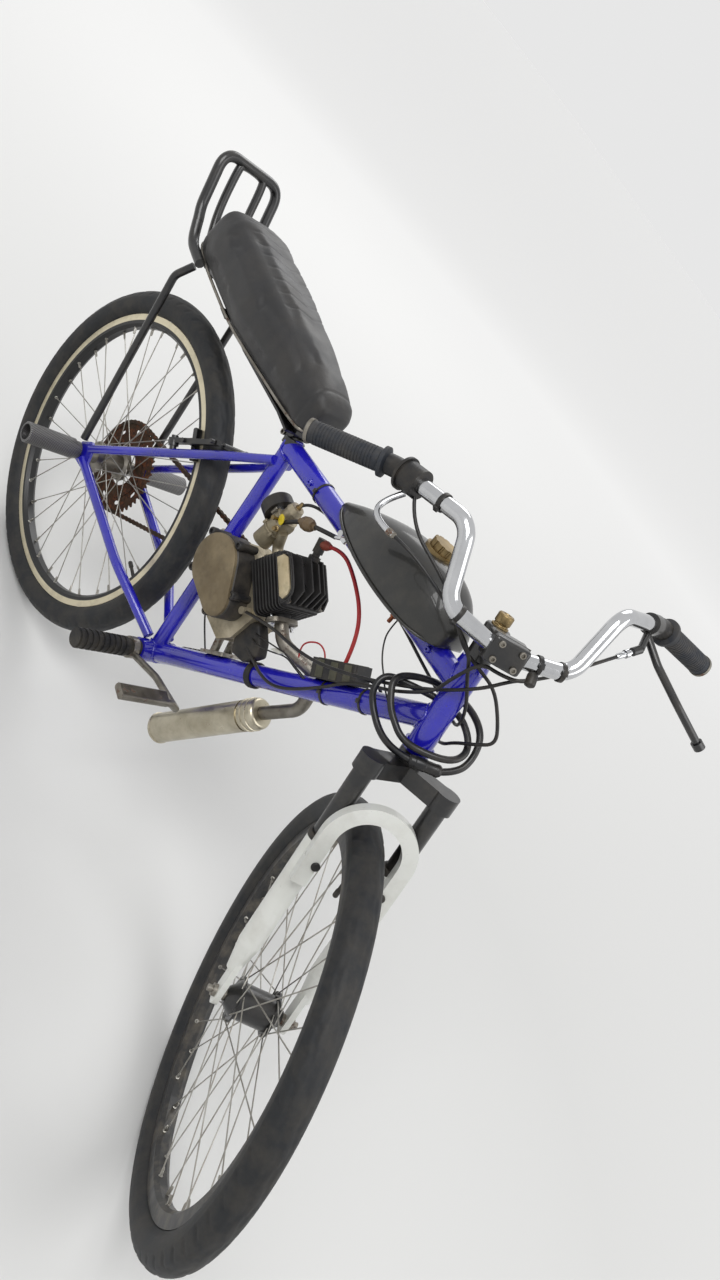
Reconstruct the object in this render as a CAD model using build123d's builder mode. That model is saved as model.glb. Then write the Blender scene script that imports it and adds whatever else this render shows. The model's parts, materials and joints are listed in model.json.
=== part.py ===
from build123d import *
from math import atan2, cos, degrees, hypot, pi, radians, sin, tan
import os

os.makedirs("parts", exist_ok=True)

# All sizes are in millimetres. Places are measured from the rear axle, and the model's origin is on
# top of the seat: +X forward, +Y to the left, +Z up.

# Layout
wheelbase = 1045.0
head_angle = 66.7
fork_offset = 40.0
steer_at_rest = -40.0
seat_ahead = 60.0
seat_height = 512.0
bb_ahead = 418.0
bb_height = -24.0
seat_tube_angle = 107.7
seat_gap = 0.3

# Wheels
rim_radius = 285.7
tyre_height = 47.3
tyre_radius = rim_radius + tyre_height
tyre_width = 50.0
rim_width = 25.0
rim_depth = 23.0
rim_wall = 3.0
bead_depth = 8.0
spokes_per_wheel = 36
spoke_radius = 1.0
spoke_cross = 60.0
axle_radius = 5.0
axle_fit = 0.05

# Fork
crown_foot = tyre_radius + 67
crown_height = 26.0
leg_side = 57.0
leg_ahead = 41.0
upper_radius = 14.5
lower_radius = 17.5
arch_centre = tyre_radius - 25
arch_radius = 58.0
lower_top = arch_centre - 23
lower_foot = 95.0
hub_width = 100.0

# Frame tubes
head_tube_radius = 19.0
head_tube_foot = crown_foot + crown_height + 29
head_tube_length = 125.0
down_tube_joint = head_tube_foot + 41.5
top_tube_joint = head_tube_foot + 97
cup_radius = 22.5
cup_height = 12.0
steerer_radius = 12.7
bb_radius = 20.0
bb_half_width = 36.0
seat_tube_radius = 14.3
seat_tube_length = 440.0
cluster_drop = 8.0
down_tube_radius = 17.5
top_tube_radius = 17.5
stay_radius = 9.0
seat_stay_radius = 8.0
dropout_side = 62.0
dropout_thickness = 5.0
dropout_radius = 17.0

# Chain drive
chain_side = 35.0
chain_pitch = 12.7
chain_height = 8.6
plate_thickness = 1.2
roller_width = 4.6
core_margin = 42.0
core_height = 6.0
sprocket_teeth = 44
engine_sprocket_teeth = 10
engine_sprocket_back = 52.0
engine_sprocket_rise = 15.0

# Handlebar
bar_radius = 11.1
clamp_along = head_tube_foot + head_tube_length + 54
clamp_forward = 66.0
grip_radius = 15.5
grip_length = 118.0

# Engine
crank_from_down_tube = 113.3
crank_from_seat_tube = 110.9
mount_gap = 5.0
cylinder_angle = 70.0
fin_count = 9
fin_pitch = 6.4
fin_thickness = 2.4
fin_half_width = 44.0
fin_half_length = 45.0
barrel_radius = 27.0
cylinder_foot = 54.0
head_base_height = 9.0
head_height = 44.0
head_fin_count = 7
crankcase_side = 34.0
cover_side = 76.0

# Exhaust
pipe_radius = 11.0
muffler_radius = 26.0
muffler_length = 255.0

# Pegs, rails and struts
peg_radius = 19.0
peg_bore = 14.5
peg_length = 107.0
rail_radius = 9.5
rail_side = 67.0
strut_radius = 7.0

# Cables, hoses and leads
cable_radius = 2.5
hose_radius = 3.6
lead_radius = 3.2
lock_radius = 5.0
bend_share = 0.45


def turn(angle):
    """A unit direction in the side view, from its angle above straight ahead."""
    return Vector(cos(radians(angle)), 0, sin(radians(angle)))


def at(ahead, left, up):
    """A place measured from the rear axle."""
    return Vector(ahead - seat_ahead, left, up - seat_height)


def rod(start, end, radius, bore=0.0):
    """A straight round bar between two places, hollow if it has a bore."""
    with BuildPart() as bar:
        with BuildSketch(Plane(origin=start, z_dir=end - start)):
            Circle(radius)
            if bore:
                Circle(bore, mode=Mode.SUBTRACT)
        extrude(amount=(end - start).length)
    return bar.part


def bent_rod(places, bends, radius, bore=0.0):
    """A bar along straight runs joined by tangent bends, hollow if it has a bore."""
    with BuildPart() as bar:
        with BuildLine() as path:
            FilletPolyline(*places, radius=bends)
        with BuildSketch(Plane(origin=path.line @ 0, z_dir=path.line % 0)):
            Circle(radius)
            if bore:
                Circle(bore, mode=Mode.SUBTRACT)
        sweep(path=path.line)
    return bar.part


def cord(places, radius):
    """A round cord through those places, each arc as large as its two runs allow."""
    bends = []
    for before, here, after in zip(places, places[1:], places[2:]):
        half_turn = radians((here - before).get_angle(after - here) / 2)
        shorter_run = min((here - before).length, (after - here).length)
        bends.append(bend_share * shorter_run / tan(half_turn))
    return bent_rod(places, bends, radius)


def side_view(ahead, left, up):
    """A plane seen from the right: its own x is ahead, y is up and its normal points right."""
    return Plane(origin=at(ahead, left, up), x_dir=(1, 0, 0), z_dir=(0, -1, 0))


def pear(first, second, grow=0.0):
    """A face round two circles, each (x, y, radius), and the straight flanks that touch both."""
    (x1, y1, r1), (x2, y2, r2) = first, second
    heading = atan2(y2 - y1, x2 - x1)
    flank = atan2((hypot(x2 - x1, y2 - y1) ** 2 - (r1 - r2) ** 2) ** 0.5, r1 - r2)

    def rim(x, y, radius, angle):
        return (x + (radius + grow) * cos(angle), y + (radius + grow) * sin(angle))

    with BuildSketch() as outline:
        with BuildLine():
            Line(rim(*first, heading + flank), rim(*second, heading + flank))
            ThreePointArc(
                rim(*second, heading + flank),
                rim(*second, heading),
                rim(*second, heading - flank),
            )
            Line(rim(*second, heading - flank), rim(*first, heading - flank))
            ThreePointArc(
                rim(*first, heading - flank),
                rim(*first, heading + pi),
                rim(*first, heading + flank),
            )
        make_face()
    return outline.sketch


def save(builder, name):
    """Name one finished piece and write it."""
    builder.part.label = name
    export_step(builder.part, f"parts/{name}.step")


# The steering turns about an axis through the head tube. Places on it are given as forward of the
# axis, to the left, and along the axis from level with the front axle.
steer_axis = turn(180.0 - head_angle)
straight_ahead = turn(90.0 - head_angle)
steer_foot = at(wheelbase, 0, 0) - straight_ahead * fork_offset
steering = Plane(
    origin=steer_foot,
    x_dir=straight_ahead.rotate(Axis((0, 0, 0), steer_axis), steer_at_rest),
    z_dir=steer_axis,
)


def steer(forward, left, along):
    """A place on the steering assembly, as it stands at rest."""
    return steering.from_local_coords(Vector(forward, left, along))


def steer_plane(forward, left, along, x_dir, z_dir):
    """A sketch plane on the steering assembly, with its directions given there too."""
    origin = steer(forward, left, along)
    across = steer(*x_dir) - steering.origin
    outward = steer(*z_dir) - steering.origin
    return Plane(origin=origin, x_dir=across, z_dir=outward)


# Key places
bb = at(bb_ahead, 0, bb_height)
head_foot = steer(0, 0, head_tube_foot)
head_top = steer(0, 0, head_tube_foot + head_tube_length)
post_dir = turn(seat_tube_angle)
seat_top = bb + post_dir * seat_tube_length
cluster = bb + post_dir * (seat_tube_length - cluster_drop)
down_target = steer(0, 0, down_tube_joint)
down_dir = (down_target - bb).normalized()
down_tube_angle = degrees(atan2(down_dir.Z, down_dir.X))
down_up = turn(down_tube_angle + 90)
top_target = steer(0, 0, top_tube_joint)
top_length = (top_target - cluster).length
top_dir = (top_target - cluster).normalized()
above_tube = turn(degrees(atan2(top_dir.Z, top_dir.X)) + 90)
tubes_spread = sin(radians(seat_tube_angle - down_tube_angle))
crank_up_down_tube = crank_from_seat_tube / tubes_spread
crank_up_seat_tube = crank_from_down_tube / tubes_spread
crank = bb + down_dir * crank_up_down_tube + post_dir * crank_up_seat_tube
crank_ahead = crank.X + seat_ahead
crank_height = crank.Z + seat_height
engine_sprocket_ahead = crank_ahead - engine_sprocket_back
engine_sprocket_height = crank_height + engine_sprocket_rise
cylinder_axis = turn(cylinder_angle)
forward_of_cylinder = turn(cylinder_angle - 90)


def by_bar(forward, left, above):
    """A place on the steering assembly, measured from the middle of the handlebar's clamp."""
    return steer(forward, left, clamp_along + above)


def by_head(forward, left, above):
    """A place on the frame by the head tube, measured from the foot of the tube along its axis."""
    return head_foot + straight_ahead * forward + Vector(0, left, 0) + steer_axis * above


def by_top(back, left, above):
    """A place by the top tube, as far back along it from the head tube's axis as back."""
    return top_target - top_dir * back + Vector(0, left, 0) + above_tube * above


def by_down(back, left, above):
    """A place by the down tube, as far down along it from the head tube's axis as back."""
    return down_target - down_dir * back + Vector(0, left, 0) + down_up * above


def by_crank(ahead, left, above):
    """A place by the engine, measured from the middle of its crankshaft."""
    return crank + Vector(ahead, left, above)



# Frame: head tube with its bearing cups, bottom bracket shell and main tubes
with BuildPart() as head_tube:
    add(rod(head_foot, head_top, head_tube_radius))
    for foot, lean in ((head_foot, -1), (head_top, 1)):
        with BuildSketch(Plane(origin=foot, z_dir=steer_axis * lean)):
            Circle(cup_radius)
        extrude(amount=cup_height, taper=8)
    with BuildSketch(Plane(origin=head_foot - steer_axis * cup_height, z_dir=steer_axis)):
        Circle(steerer_radius + seat_gap)
    extrude(amount=head_tube_length + 2 * cup_height, mode=Mode.SUBTRACT)
save(head_tube, "head_tube")

with BuildPart() as bb_shell:
    add(rod(bb - Vector(0, bb_half_width, 0), bb + Vector(0, bb_half_width, 0), bb_radius))
save(bb_shell, "bottom_bracket")

seat_tube_solid = rod(bb, seat_top + post_dir * 2 * seat_tube_radius, seat_tube_radius)
with BuildPart() as seat_tube:
    add(rod(bb, seat_top, seat_tube_radius))
    add(bb_shell.part, mode=Mode.SUBTRACT)
save(seat_tube, "seat_tube")

head_solid = rod(head_foot - steer_axis * cup_height, head_top + steer_axis * cup_height, head_tube_radius)
with BuildPart() as down_tube:
    add(rod(bb, down_target, down_tube_radius))
    add(head_solid, mode=Mode.SUBTRACT)
    add(bb_shell.part, mode=Mode.SUBTRACT)
    add(seat_tube_solid, mode=Mode.SUBTRACT)
save(down_tube, "down_tube")

with BuildPart() as top_tube:
    add(rod(cluster, top_target, top_tube_radius))
    add(head_solid, mode=Mode.SUBTRACT)
    add(seat_tube_solid, mode=Mode.SUBTRACT)
    add(down_tube.part, mode=Mode.SUBTRACT)
    split(bisect_by=Plane(origin=cluster, z_dir=turn(seat_tube_angle - 90)), keep=Keep.TOP)
save(top_tube, "top_tube")

# Rear triangle: each chain stay ends in the dropout that holds the axle, and each seat stay runs
# straight in the side view, spread to clear the tyre and then drawn in to the seat tube
stay_foot_ahead = 18.0
stay_foot_up = 27.0
stay_head_ahead = 298.0
stay_head_up = 361.0
stay_foot_side = dropout_side + 2.5
stay_knee_side = tyre_width / 2 + seat_stay_radius + 3
stay_head_side = 17.0
stay_knee_travel = tyre_radius
seat_stay_solids = {}
stay_dir = turn(degrees(atan2(stay_head_up - stay_foot_up, stay_head_ahead - stay_foot_ahead)))


def on_stay(travel, left=0.0):
    """A place on the seat stays' line in the side view, that far up from their feet."""
    return at(stay_foot_ahead, left, stay_foot_up) + stay_dir * travel


for suffix, sign in (("right", -1), ("left", 1)):
    stay = bent_rod(
        [
            at(20, sign * (dropout_side + 2.5), 0),
            at(262, sign * 60, 6),
            at(402, sign * 22, -4),
        ],
        [160],
        stay_radius,
    )
    plate_plane = side_view(0, sign * dropout_side, 0)
    with BuildPart() as chain_stay:
        add(stay)
        with BuildSketch(plate_plane):
            with BuildLine():
                Polyline((-14, -12), (6, -17), (40, -8), (40, 8), (24, 34), (10, 38), (-12, 14), close=True)
            make_face()
            fillet(vertices(), 4)
        extrude(amount=-sign * dropout_thickness)
        add(bb_shell.part, mode=Mode.SUBTRACT)
        add(seat_tube.part, mode=Mode.SUBTRACT)
        with BuildSketch(plate_plane):
            Circle(axle_radius + axle_fit)
        extrude(amount=-sign * dropout_thickness, mode=Mode.SUBTRACT)
    save(chain_stay, f"chain_stay_{suffix}")

    stay_route = [
        on_stay(0, sign * stay_foot_side),
        on_stay(stay_knee_travel, sign * stay_knee_side),
        at(stay_head_ahead, sign * stay_head_side, stay_head_up),
    ]
    bent_stay = bent_rod(stay_route, [180], seat_stay_radius)
    with BuildPart() as seat_stay:
        add(bent_stay)
        add(chain_stay.part, mode=Mode.SUBTRACT)
        add(seat_tube_solid, mode=Mode.SUBTRACT)
    save(seat_stay, f"seat_stay_{suffix}")
    seat_stay_solids[sign] = seat_stay.part

# Rear axle with its nuts, right through both dropouts
nut_radius = 9.0
nut_height = 5.0
outer_side = dropout_side + dropout_thickness
axle_end = outer_side + nut_height + 6
with BuildPart() as rear_axle:
    add(rod(at(0, -axle_end, 0), at(0, axle_end, 0), axle_radius))
    for sign in (-1, 1):
        with BuildSketch(side_view(0, sign * outer_side, 0)):
            RegularPolygon(nut_radius, 6)
        extrude(amount=-sign * nut_height)
save(rear_axle, "rear_axle")

# Tubes on the rear axle's ends, open outwards, with a narrower neck beside the frame
peg_wall = 6.0
peg_foot = outer_side + nut_height
peg_neck_radius = 16.0
peg_neck_length = 12.0
peg_lip = 1.5
with BuildPart() as axle_pegs:
    for sign in (-1, 1):
        with BuildSketch(side_view(0, sign * (peg_foot + peg_neck_length), 0)):
            Circle(peg_radius)
        extrude(amount=-sign * (peg_length - peg_neck_length))
        chamfer(edges().group_by(Axis.Y)[0 if sign < 0 else -1], peg_lip)
        with BuildSketch(side_view(0, sign * peg_foot, 0)):
            Circle(peg_neck_radius)
        extrude(amount=-sign * peg_neck_length)
        with BuildSketch(side_view(0, sign * (peg_foot + peg_wall), 0)):
            Circle(peg_bore)
        extrude(amount=-sign * peg_length, mode=Mode.SUBTRACT)
        with BuildSketch(side_view(0, sign * peg_foot, 0)):
            Circle(axle_radius + axle_fit)
        extrude(amount=-sign * peg_wall, mode=Mode.SUBTRACT)
save(axle_pegs, "axle_pegs")

# Foot pegs, on the bottom bracket in place of the cranks: a boot, a ribbed grip and an end plug
boot_radius = 15.0
boot_length = 26.0
grip_ribs = 9
rib_pitch = 11.0
peg_grip_radius = 15.5
rib_height = 1.8
with BuildPart() as foot_pegs:
    for sign in (-1, 1):
        start = bb_half_width + seat_gap
        with BuildSketch(side_view(bb_ahead, sign * start, bb_height)):
            Circle(boot_radius)
        extrude(amount=-sign * boot_length)
        with BuildSketch(side_view(bb_ahead, sign * (start + boot_length), bb_height)):
            Circle(peg_grip_radius)
        extrude(amount=-sign * grip_ribs * rib_pitch)
        for rib in range(grip_ribs):
            rib_side = start + boot_length + (rib + 0.25) * rib_pitch
            with BuildSketch(side_view(bb_ahead, sign * rib_side, bb_height)):
                Circle(peg_grip_radius + rib_height)
            extrude(amount=-sign * rib_pitch / 2)
save(foot_pegs, "foot_pegs")

# Brake pedal: a ring round the right foot peg's boot, a bent arm and a pad that reaches outwards
pedal_ring_radius = 19.0
pedal_ring_width = 12.0
pedal_side = 44.0
pedal_path = [at(bb_ahead + 16, -pedal_side - 6, -22), at(505, -pedal_side - 12, 20), at(583, -64, 50)]
pedal_tip = [at(583, -64, 50), at(582, -82, 62), at(577, -178, 68)]
pedal_arm = bent_rod(pedal_path, [90], 6)
pedal_bar = bent_rod(pedal_tip, [20], 6)
with BuildPart() as brake_pedal:
    with BuildSketch(side_view(bb_ahead, -pedal_side, bb_height)):
        Circle(pedal_ring_radius)
        Circle(boot_radius + axle_fit, mode=Mode.SUBTRACT)
    extrude(amount=pedal_ring_width)
    add(pedal_arm)
    add(pedal_bar)
    with BuildSketch(Plane(origin=at(578, -96, 67), x_dir=(1, 0, 0), z_dir=(0, -1, 0.06))):
        RectangleRounded(26, 13, 5)
    extrude(amount=92)
    add(rod(at(bb_ahead, -30, bb_height), at(bb_ahead, -70, bb_height), boot_radius), mode=Mode.SUBTRACT)
save(brake_pedal, "brake_pedal")

# Seat post, with the collar round the seat tube and the cross tube that holds the seat bracket
post_radius = 12.7
post_length = 12.0
cross_tube_radius = 12.0
bar_side = 30.0
bar_width = 22.0
bar_thickness = 4.0
bar_level = 396.7
bar_rise = 16.0
post_top = seat_top + post_dir * post_length
cross_centre = post_top + post_dir * (cross_tube_radius - 4)
with BuildPart() as seat_post:
    add(rod(seat_top, post_top, post_radius))
    across = Vector(0, bar_side - bar_width / 2 - seat_gap, 0)
    add(rod(cross_centre - across, cross_centre + across, cross_tube_radius))
save(seat_post, "seat_post")

# Seat: sections from the tail to the nose
seat_sections = (
    # ahead, half width, foot, top, corner
    (-152.0, 54.0, 412.0, 482.0, 18.0),
    (-138.0, 63.0, 404.0, 500.0, 20.0),
    (-100.0, 67.0, 401.0, 509.0, 20.0),
    (60.0, 67.0, 402.0, 512.0, 20.0),
    (170.0, 55.0, 416.0, 510.0, 20.0),
    (250.0, 40.0, 424.0, 505.0, 18.0),
    (292.0, 31.0, 430.0, 498.0, 16.0),
    (308.0, 24.0, 438.0, 486.0, 14.0),
)
with BuildPart() as seat:
    for ahead, half_width, foot, top, corner in seat_sections:
        with BuildSketch(Plane(origin=at(ahead, 0, (foot + top) / 2), x_dir=(0, 1, 0), z_dir=(1, 0, 0))):
            RectangleRounded(2 * half_width, top - foot, corner)
    loft(ruled=True)
save(seat, "seat")

# Bracket under the seat: two flat bars from the post to the grab rail's feet, joined by plates
with BuildPart() as seat_bracket:
    for sign in (-1, 1):
        with BuildSketch(side_view(0, sign * bar_side + bar_width / 2, 0)):
            with BuildLine():
                Polyline(
                    (-118, bar_level),
                    (100, bar_level),
                    (250, bar_level + bar_rise),
                    (290, bar_level + bar_rise),
                    (290, bar_level + bar_rise + bar_thickness),
                    (250, bar_level + bar_rise + bar_thickness),
                    (100, bar_level + bar_thickness),
                    (-118, bar_level + bar_thickness),
                    close=True,
                )
            make_face()
        extrude(amount=bar_width)
    for ahead in (-106.0, 20.0):
        with BuildSketch(Plane(origin=at(ahead, 0, bar_level))):
            Rectangle(26, 2 * (rail_side - rail_radius))
        extrude(amount=bar_thickness)
save(seat_bracket, "seat_bracket")

# Grab rail: an outer hoop and an inner one, welded where they meet behind the seat
rail_level = bar_level - 1
inner_side = 30.0
outer_hoop = bent_rod(
    [
        at(-100, -rail_side, rail_level),
        at(-150, -rail_side, rail_level),
        at(-199, -rail_side, 444),
        at(-246, -rail_side, 532),
        at(-246, rail_side, 532),
        at(-199, rail_side, 444),
        at(-150, rail_side, rail_level),
        at(-100, rail_side, rail_level),
    ],
    [50, 60, 32, 32, 60, 50],
    rail_radius,
)
with BuildPart() as grab_rail:
    add(outer_hoop)
    for sign in (-1, 1):
        add(
            bent_rod(
                [
                    at(-196, sign * rail_side, 446),
                    at(-196, sign * inner_side, 450),
                    at(-244, sign * inner_side, 532),
                ],
                [22],
                rail_radius - 2,
            )
        )
save(grab_rail, "grab_rail")

# Struts from the rear axle up to the grab rail's feet
with BuildPart() as rack_struts:
    for sign in (-1, 1):
        add(
            bent_rod(
                [
                    at(-4, sign * (outer_side + strut_radius + seat_gap), 27),
                    at(-110, sign * (rail_side + 13), 350),
                    at(-104, sign * rail_side, rail_level - rail_radius - 3 * seat_gap),
                ],
                [26],
                strut_radius,
            )
        )
    add(grab_rail.part, mode=Mode.SUBTRACT)
save(rack_struts, "rack_struts")

# Fuel tank: sections along the top tube, from the tail to the nose, each one arc over a flat foot
tank_nose_gap = 54.0
tank_sections = (
    # along, half width, foot, top
    (0.0, 13.0, 18.0, 28.0),
    (46.0, 36.0, 9.0, 52.0),
    (120.0, 56.0, 5.0, 80.0),
    (190.0, 61.0, 4.0, 91.0),
    (250.0, 54.0, 6.0, 82.0),
    (288.0, 34.0, 14.0, 52.0),
)
cap_along = 178.0
cap_radius = 21.0
cap_flange = 25.0
cap_foot = 84.0
tank_foot = top_target - top_dir * (tank_nose_gap + tank_sections[-1][0])
cap_place = tank_foot + top_dir * cap_along + above_tube * cap_foot
with BuildPart() as fuel_tank:
    for along, half_width, foot, top in tank_sections:
        with BuildSketch(Plane(origin=tank_foot + top_dir * along, x_dir=(0, 1, 0), z_dir=top_dir)):
            with BuildLine():
                ThreePointArc((-half_width, foot), (0, top), (half_width, foot))
                Line((half_width, foot), (-half_width, foot))
            make_face()
    loft()
    add(rod(cluster, top_target, top_tube_radius), mode=Mode.SUBTRACT)
    add(rod(cap_place, cap_place + above_tube * 40, cap_flange), mode=Mode.SUBTRACT)
save(fuel_tank, "fuel_tank")

with BuildPart() as fuel_cap:
    add(rod(cap_place, cap_place + above_tube * 9, cap_flange))
    with BuildSketch(Plane(origin=cap_place + above_tube * 9, z_dir=above_tube)):
        Circle(cap_radius)
        with PolarLocations(cap_radius, 12):
            Circle(2.2, mode=Mode.SUBTRACT)
    extrude(amount=11)
save(fuel_cap, "fuel_cap")

# Fuel tap under the tank's tail, with a spigot that slants back and a lever on its right
tap_along = 61.2
tap_rise = 15.8
tap_side = 26.0
tap_length = 24.0
spigot_angle = 225.0
spigot_reach = 20.0
spigot_radius = 3.0
tap_head = tank_foot + top_dir * tap_along + above_tube * tap_rise + Vector(0, -tap_side, 0)
tap_foot = tap_head - Vector(0, 0, tap_length)
spigot_end = tap_foot + Vector(0, 0, 5) + turn(spigot_angle) * spigot_reach
with BuildPart() as fuel_tap:
    add(rod(tap_head, tap_foot, 6.5))
    add(rod(tap_foot + Vector(0, 0, 5), spigot_end, spigot_radius))
    add(rod(tap_foot + Vector(0, -4, 12), tap_foot + Vector(0, -20, 12), 5))
    add(fuel_tank.part, mode=Mode.SUBTRACT)
save(fuel_tap, "fuel_tap")

# Engine: crankcase with the flat that the cylinder stands on
sprocket_place = at(engine_sprocket_ahead, 0, engine_sprocket_height)
chain_case_side = 27.0
engine_sprocket_radius = chain_pitch / (2 * sin(pi / engine_sprocket_teeth))
cylinder_base = crank + cylinder_axis * cylinder_foot
base_half = 43.0
base_back = cylinder_base - forward_of_cylinder * base_half - crank
base_front = cylinder_base + forward_of_cylinder * base_half - crank
clutch_arm_place = crank + Vector(46, -crankcase_side, 25)
clutch_arm_length = 18.0
with BuildPart() as crankcase:
    with BuildSketch(side_view(crank_ahead, -crankcase_side, crank_height)):
        with BuildLine():
            Polyline(
                (-88, -17),
                (-88, 33),
                (-66, 61),
                (base_back.X, base_back.Z),
                (base_front.X, base_front.Z),
                (60, -27),
                (44, -55),
                (-38, -63),
                (-70, -47),
                close=True,
            )
        make_face()
        fillet(vertices().group_by(Axis.Y)[0], 10)
    extrude(amount=-(crankcase_side + chain_case_side))
    add(rod(clutch_arm_place, clutch_arm_place - Vector(0, clutch_arm_length, 0), 6))
    add(rod(bb, down_target, down_tube_radius + mount_gap), mode=Mode.SUBTRACT)
    shaft_end = sprocket_place + Vector(0, chain_side + 2, 0)
    add(rod(sprocket_place, shaft_end, 8))
    with BuildSketch(side_view(engine_sprocket_ahead, chain_side + 2, engine_sprocket_height)):
        Circle(engine_sprocket_radius - core_height / 2 - seat_gap)
    extrude(amount=4)
save(crankcase, "crankcase")

# Clutch cover: a pear-shaped lid on the right with five screw lugs round it
cover_circles = (
    # ahead of the crank, above it, radius
    (-40.0, 22.0, 50.0),
    (12.0, 3.0, 31.0),
)
cover_lugs = (
    # ahead of the crank, above it
    (-93.0, 37.0),
    (-36.0, 76.0),
    (-68.0, -25.0),
    (27.0, 31.0),
    (16.0, -27.0),
)
lug_radius = 6.5
with BuildPart() as clutch_cover:
    cover_plane = side_view(crank_ahead, -crankcase_side - seat_gap, crank_height)
    with BuildSketch(cover_plane):
        add(pear(*cover_circles))
    extrude(amount=cover_side - crankcase_side - 4)
    chamfer(faces().sort_by(Axis.Y)[0].edges(), 3)
    with BuildSketch(cover_plane):
        with Locations(*cover_lugs):
            Circle(lug_radius)
    extrude(amount=cover_side - crankcase_side - 6)
    with BuildSketch(side_view(crank_ahead, -cover_side + 4 - seat_gap, crank_height)):
        add(pear(*cover_circles, grow=-9))
    extrude(amount=3.5)
save(clutch_cover, "clutch_cover")

# Magneto and sprocket cover on the left, open behind for the chain
magneto_side = 66.0
pocket_depth = 17.0
magneto_circle = (crank_ahead, crank_height, 42.0)
sprocket_circle = (engine_sprocket_ahead, engine_sprocket_height, 31.0)
chain_way = (engine_sprocket_ahead - 60, engine_sprocket_height - 30, 36.0)
left_face = chain_case_side + seat_gap
with BuildPart() as magneto_cover:
    with BuildSketch(side_view(0, left_face, 0)):
        add(pear(magneto_circle, sprocket_circle))
    extrude(amount=left_face - magneto_side)
    chamfer(faces().sort_by(Axis.Y)[-1].edges(), 4)
    with BuildSketch(side_view(0, left_face, 0)):
        add(pear((*sprocket_circle[:2], 27.0), chain_way))
    extrude(amount=-pocket_depth, mode=Mode.SUBTRACT)
save(magneto_cover, "magneto_cover")

# Cylinder: a round barrel with square cooling fins
barrel_height = fin_count * fin_pitch
barrel_foot = cylinder_base + cylinder_axis * seat_gap
with BuildPart() as cylinder:
    with BuildSketch(Plane(origin=barrel_foot, x_dir=(0, 1, 0), z_dir=cylinder_axis)):
        Circle(barrel_radius)
    extrude(amount=barrel_height - seat_gap)
    for fin in range(fin_count):
        fin_foot = cylinder_base + cylinder_axis * (fin * fin_pitch + fin_pitch - fin_thickness)
        with BuildSketch(Plane(origin=fin_foot, x_dir=(0, 1, 0), z_dir=cylinder_axis)):
            RectangleRounded(2 * fin_half_width, 2 * fin_half_length, 9)
        extrude(amount=fin_thickness)
    port_centre = cylinder_base + cylinder_axis * 20
    for lean, reach, radius in ((1, fin_half_length + 5, 15), (-1, fin_half_length + 2, 12)):
        add(rod(port_centre, port_centre + forward_of_cylinder * lean * reach, radius))
save(cylinder, "cylinder")

# Cylinder head: a base plate, a domed core and tall fins that run fore and aft under a sloped edge
head_foot_place = cylinder_base + cylinder_axis * (fin_count * fin_pitch + seat_gap)
head_plane = Plane(origin=head_foot_place, x_dir=(0, 1, 0), z_dir=cylinder_axis)
plug_dir = turn(cylinder_angle + 48)
plug_place = head_foot_place - forward_of_cylinder * 28 + cylinder_axis * (head_height - 10)
plug_pocket = 13.0
with BuildPart() as cylinder_head:
    with BuildSketch(head_plane):
        RectangleRounded(2 * fin_half_width, 2 * fin_half_length - 4, 10)
    extrude(amount=head_base_height)
    with BuildSketch(head_plane):
        Circle(24)
    extrude(amount=head_height - 12)
    for fin in range(head_fin_count):
        lane = (fin - (head_fin_count - 1) / 2) * (2 * fin_half_width - 8) / (head_fin_count - 1)
        tall = head_height - 0.012 * lane * lane
        fin_origin = head_foot_place + Vector(0, lane + 1.5, 0)
        with BuildSketch(Plane(origin=fin_origin, x_dir=forward_of_cylinder, z_dir=(0, -1, 0))):
            with BuildLine():
                Polyline((-41, 0), (-41, 14), (-26, tall), (26, tall), (41, 14), (41, 0), close=True)
            make_face()
        extrude(amount=3)
    with BuildSketch(Plane(origin=plug_place, z_dir=plug_dir)):
        Circle(plug_pocket)
    extrude(amount=plug_pocket * 2, mode=Mode.SUBTRACT)
save(cylinder_head, "cylinder_head")

# Spark plug in the head's back slope, with a boot that turns forward at its end
boot_foot = 13.0
boot_end = 36.0
boot_outlet_angle = 40.0
outlet_place = plug_place + plug_dir * (boot_end - 8)
outlet_dir = turn(boot_outlet_angle)
outlet_length = 13.0
with BuildPart() as spark_plug:
    with BuildSketch(Plane(origin=plug_place, z_dir=plug_dir)):
        RegularPolygon(10, 6)
    extrude(amount=7)
    add(rod(plug_place + plug_dir * 7, plug_place + plug_dir * boot_foot, 6))
    add(rod(plug_place + plug_dir * boot_foot, plug_place + plug_dir * boot_end, 8.5))
    add(rod(outlet_place, outlet_place + outlet_dir * outlet_length, 7))
save(spark_plug, "spark_plug")

# Carburettor: intake pipe, body with float bowl and cap, and a round air filter at its back
carb_centre = crank + Vector(-62, -12, 127)
intake_foot = port_centre - forward_of_cylinder * (fin_half_length + 2 + seat_gap)
with BuildPart() as intake_pipe:
    with BuildSketch(Plane(origin=intake_foot, x_dir=(0, 1, 0), z_dir=forward_of_cylinder * -1)):
        SlotOverall(52, 24)
    extrude(amount=5)
    intake_route = [
        intake_foot,
        intake_foot - forward_of_cylinder * 22,
        carb_centre + Vector(16.3, 0, -6),
    ]
    add(bent_rod(intake_route, [14], 9))
save(intake_pipe, "intake_pipe")

with BuildPart() as carburetor:
    add(rod(carb_centre - Vector(17, 0, 0), carb_centre + Vector(16, 0, 0), 15))
    add(rod(carb_centre - Vector(0, 0, 50), carb_centre, 17))
    add(rod(carb_centre, carb_centre + Vector(0, 0, 27), 13))
    with BuildSketch(Plane(origin=carb_centre + Vector(0, 0, 27))):
        Circle(14)
    extrude(amount=10, taper=15)
    add(intake_pipe.part, mode=Mode.SUBTRACT)
save(carburetor, "carburetor")

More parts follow.
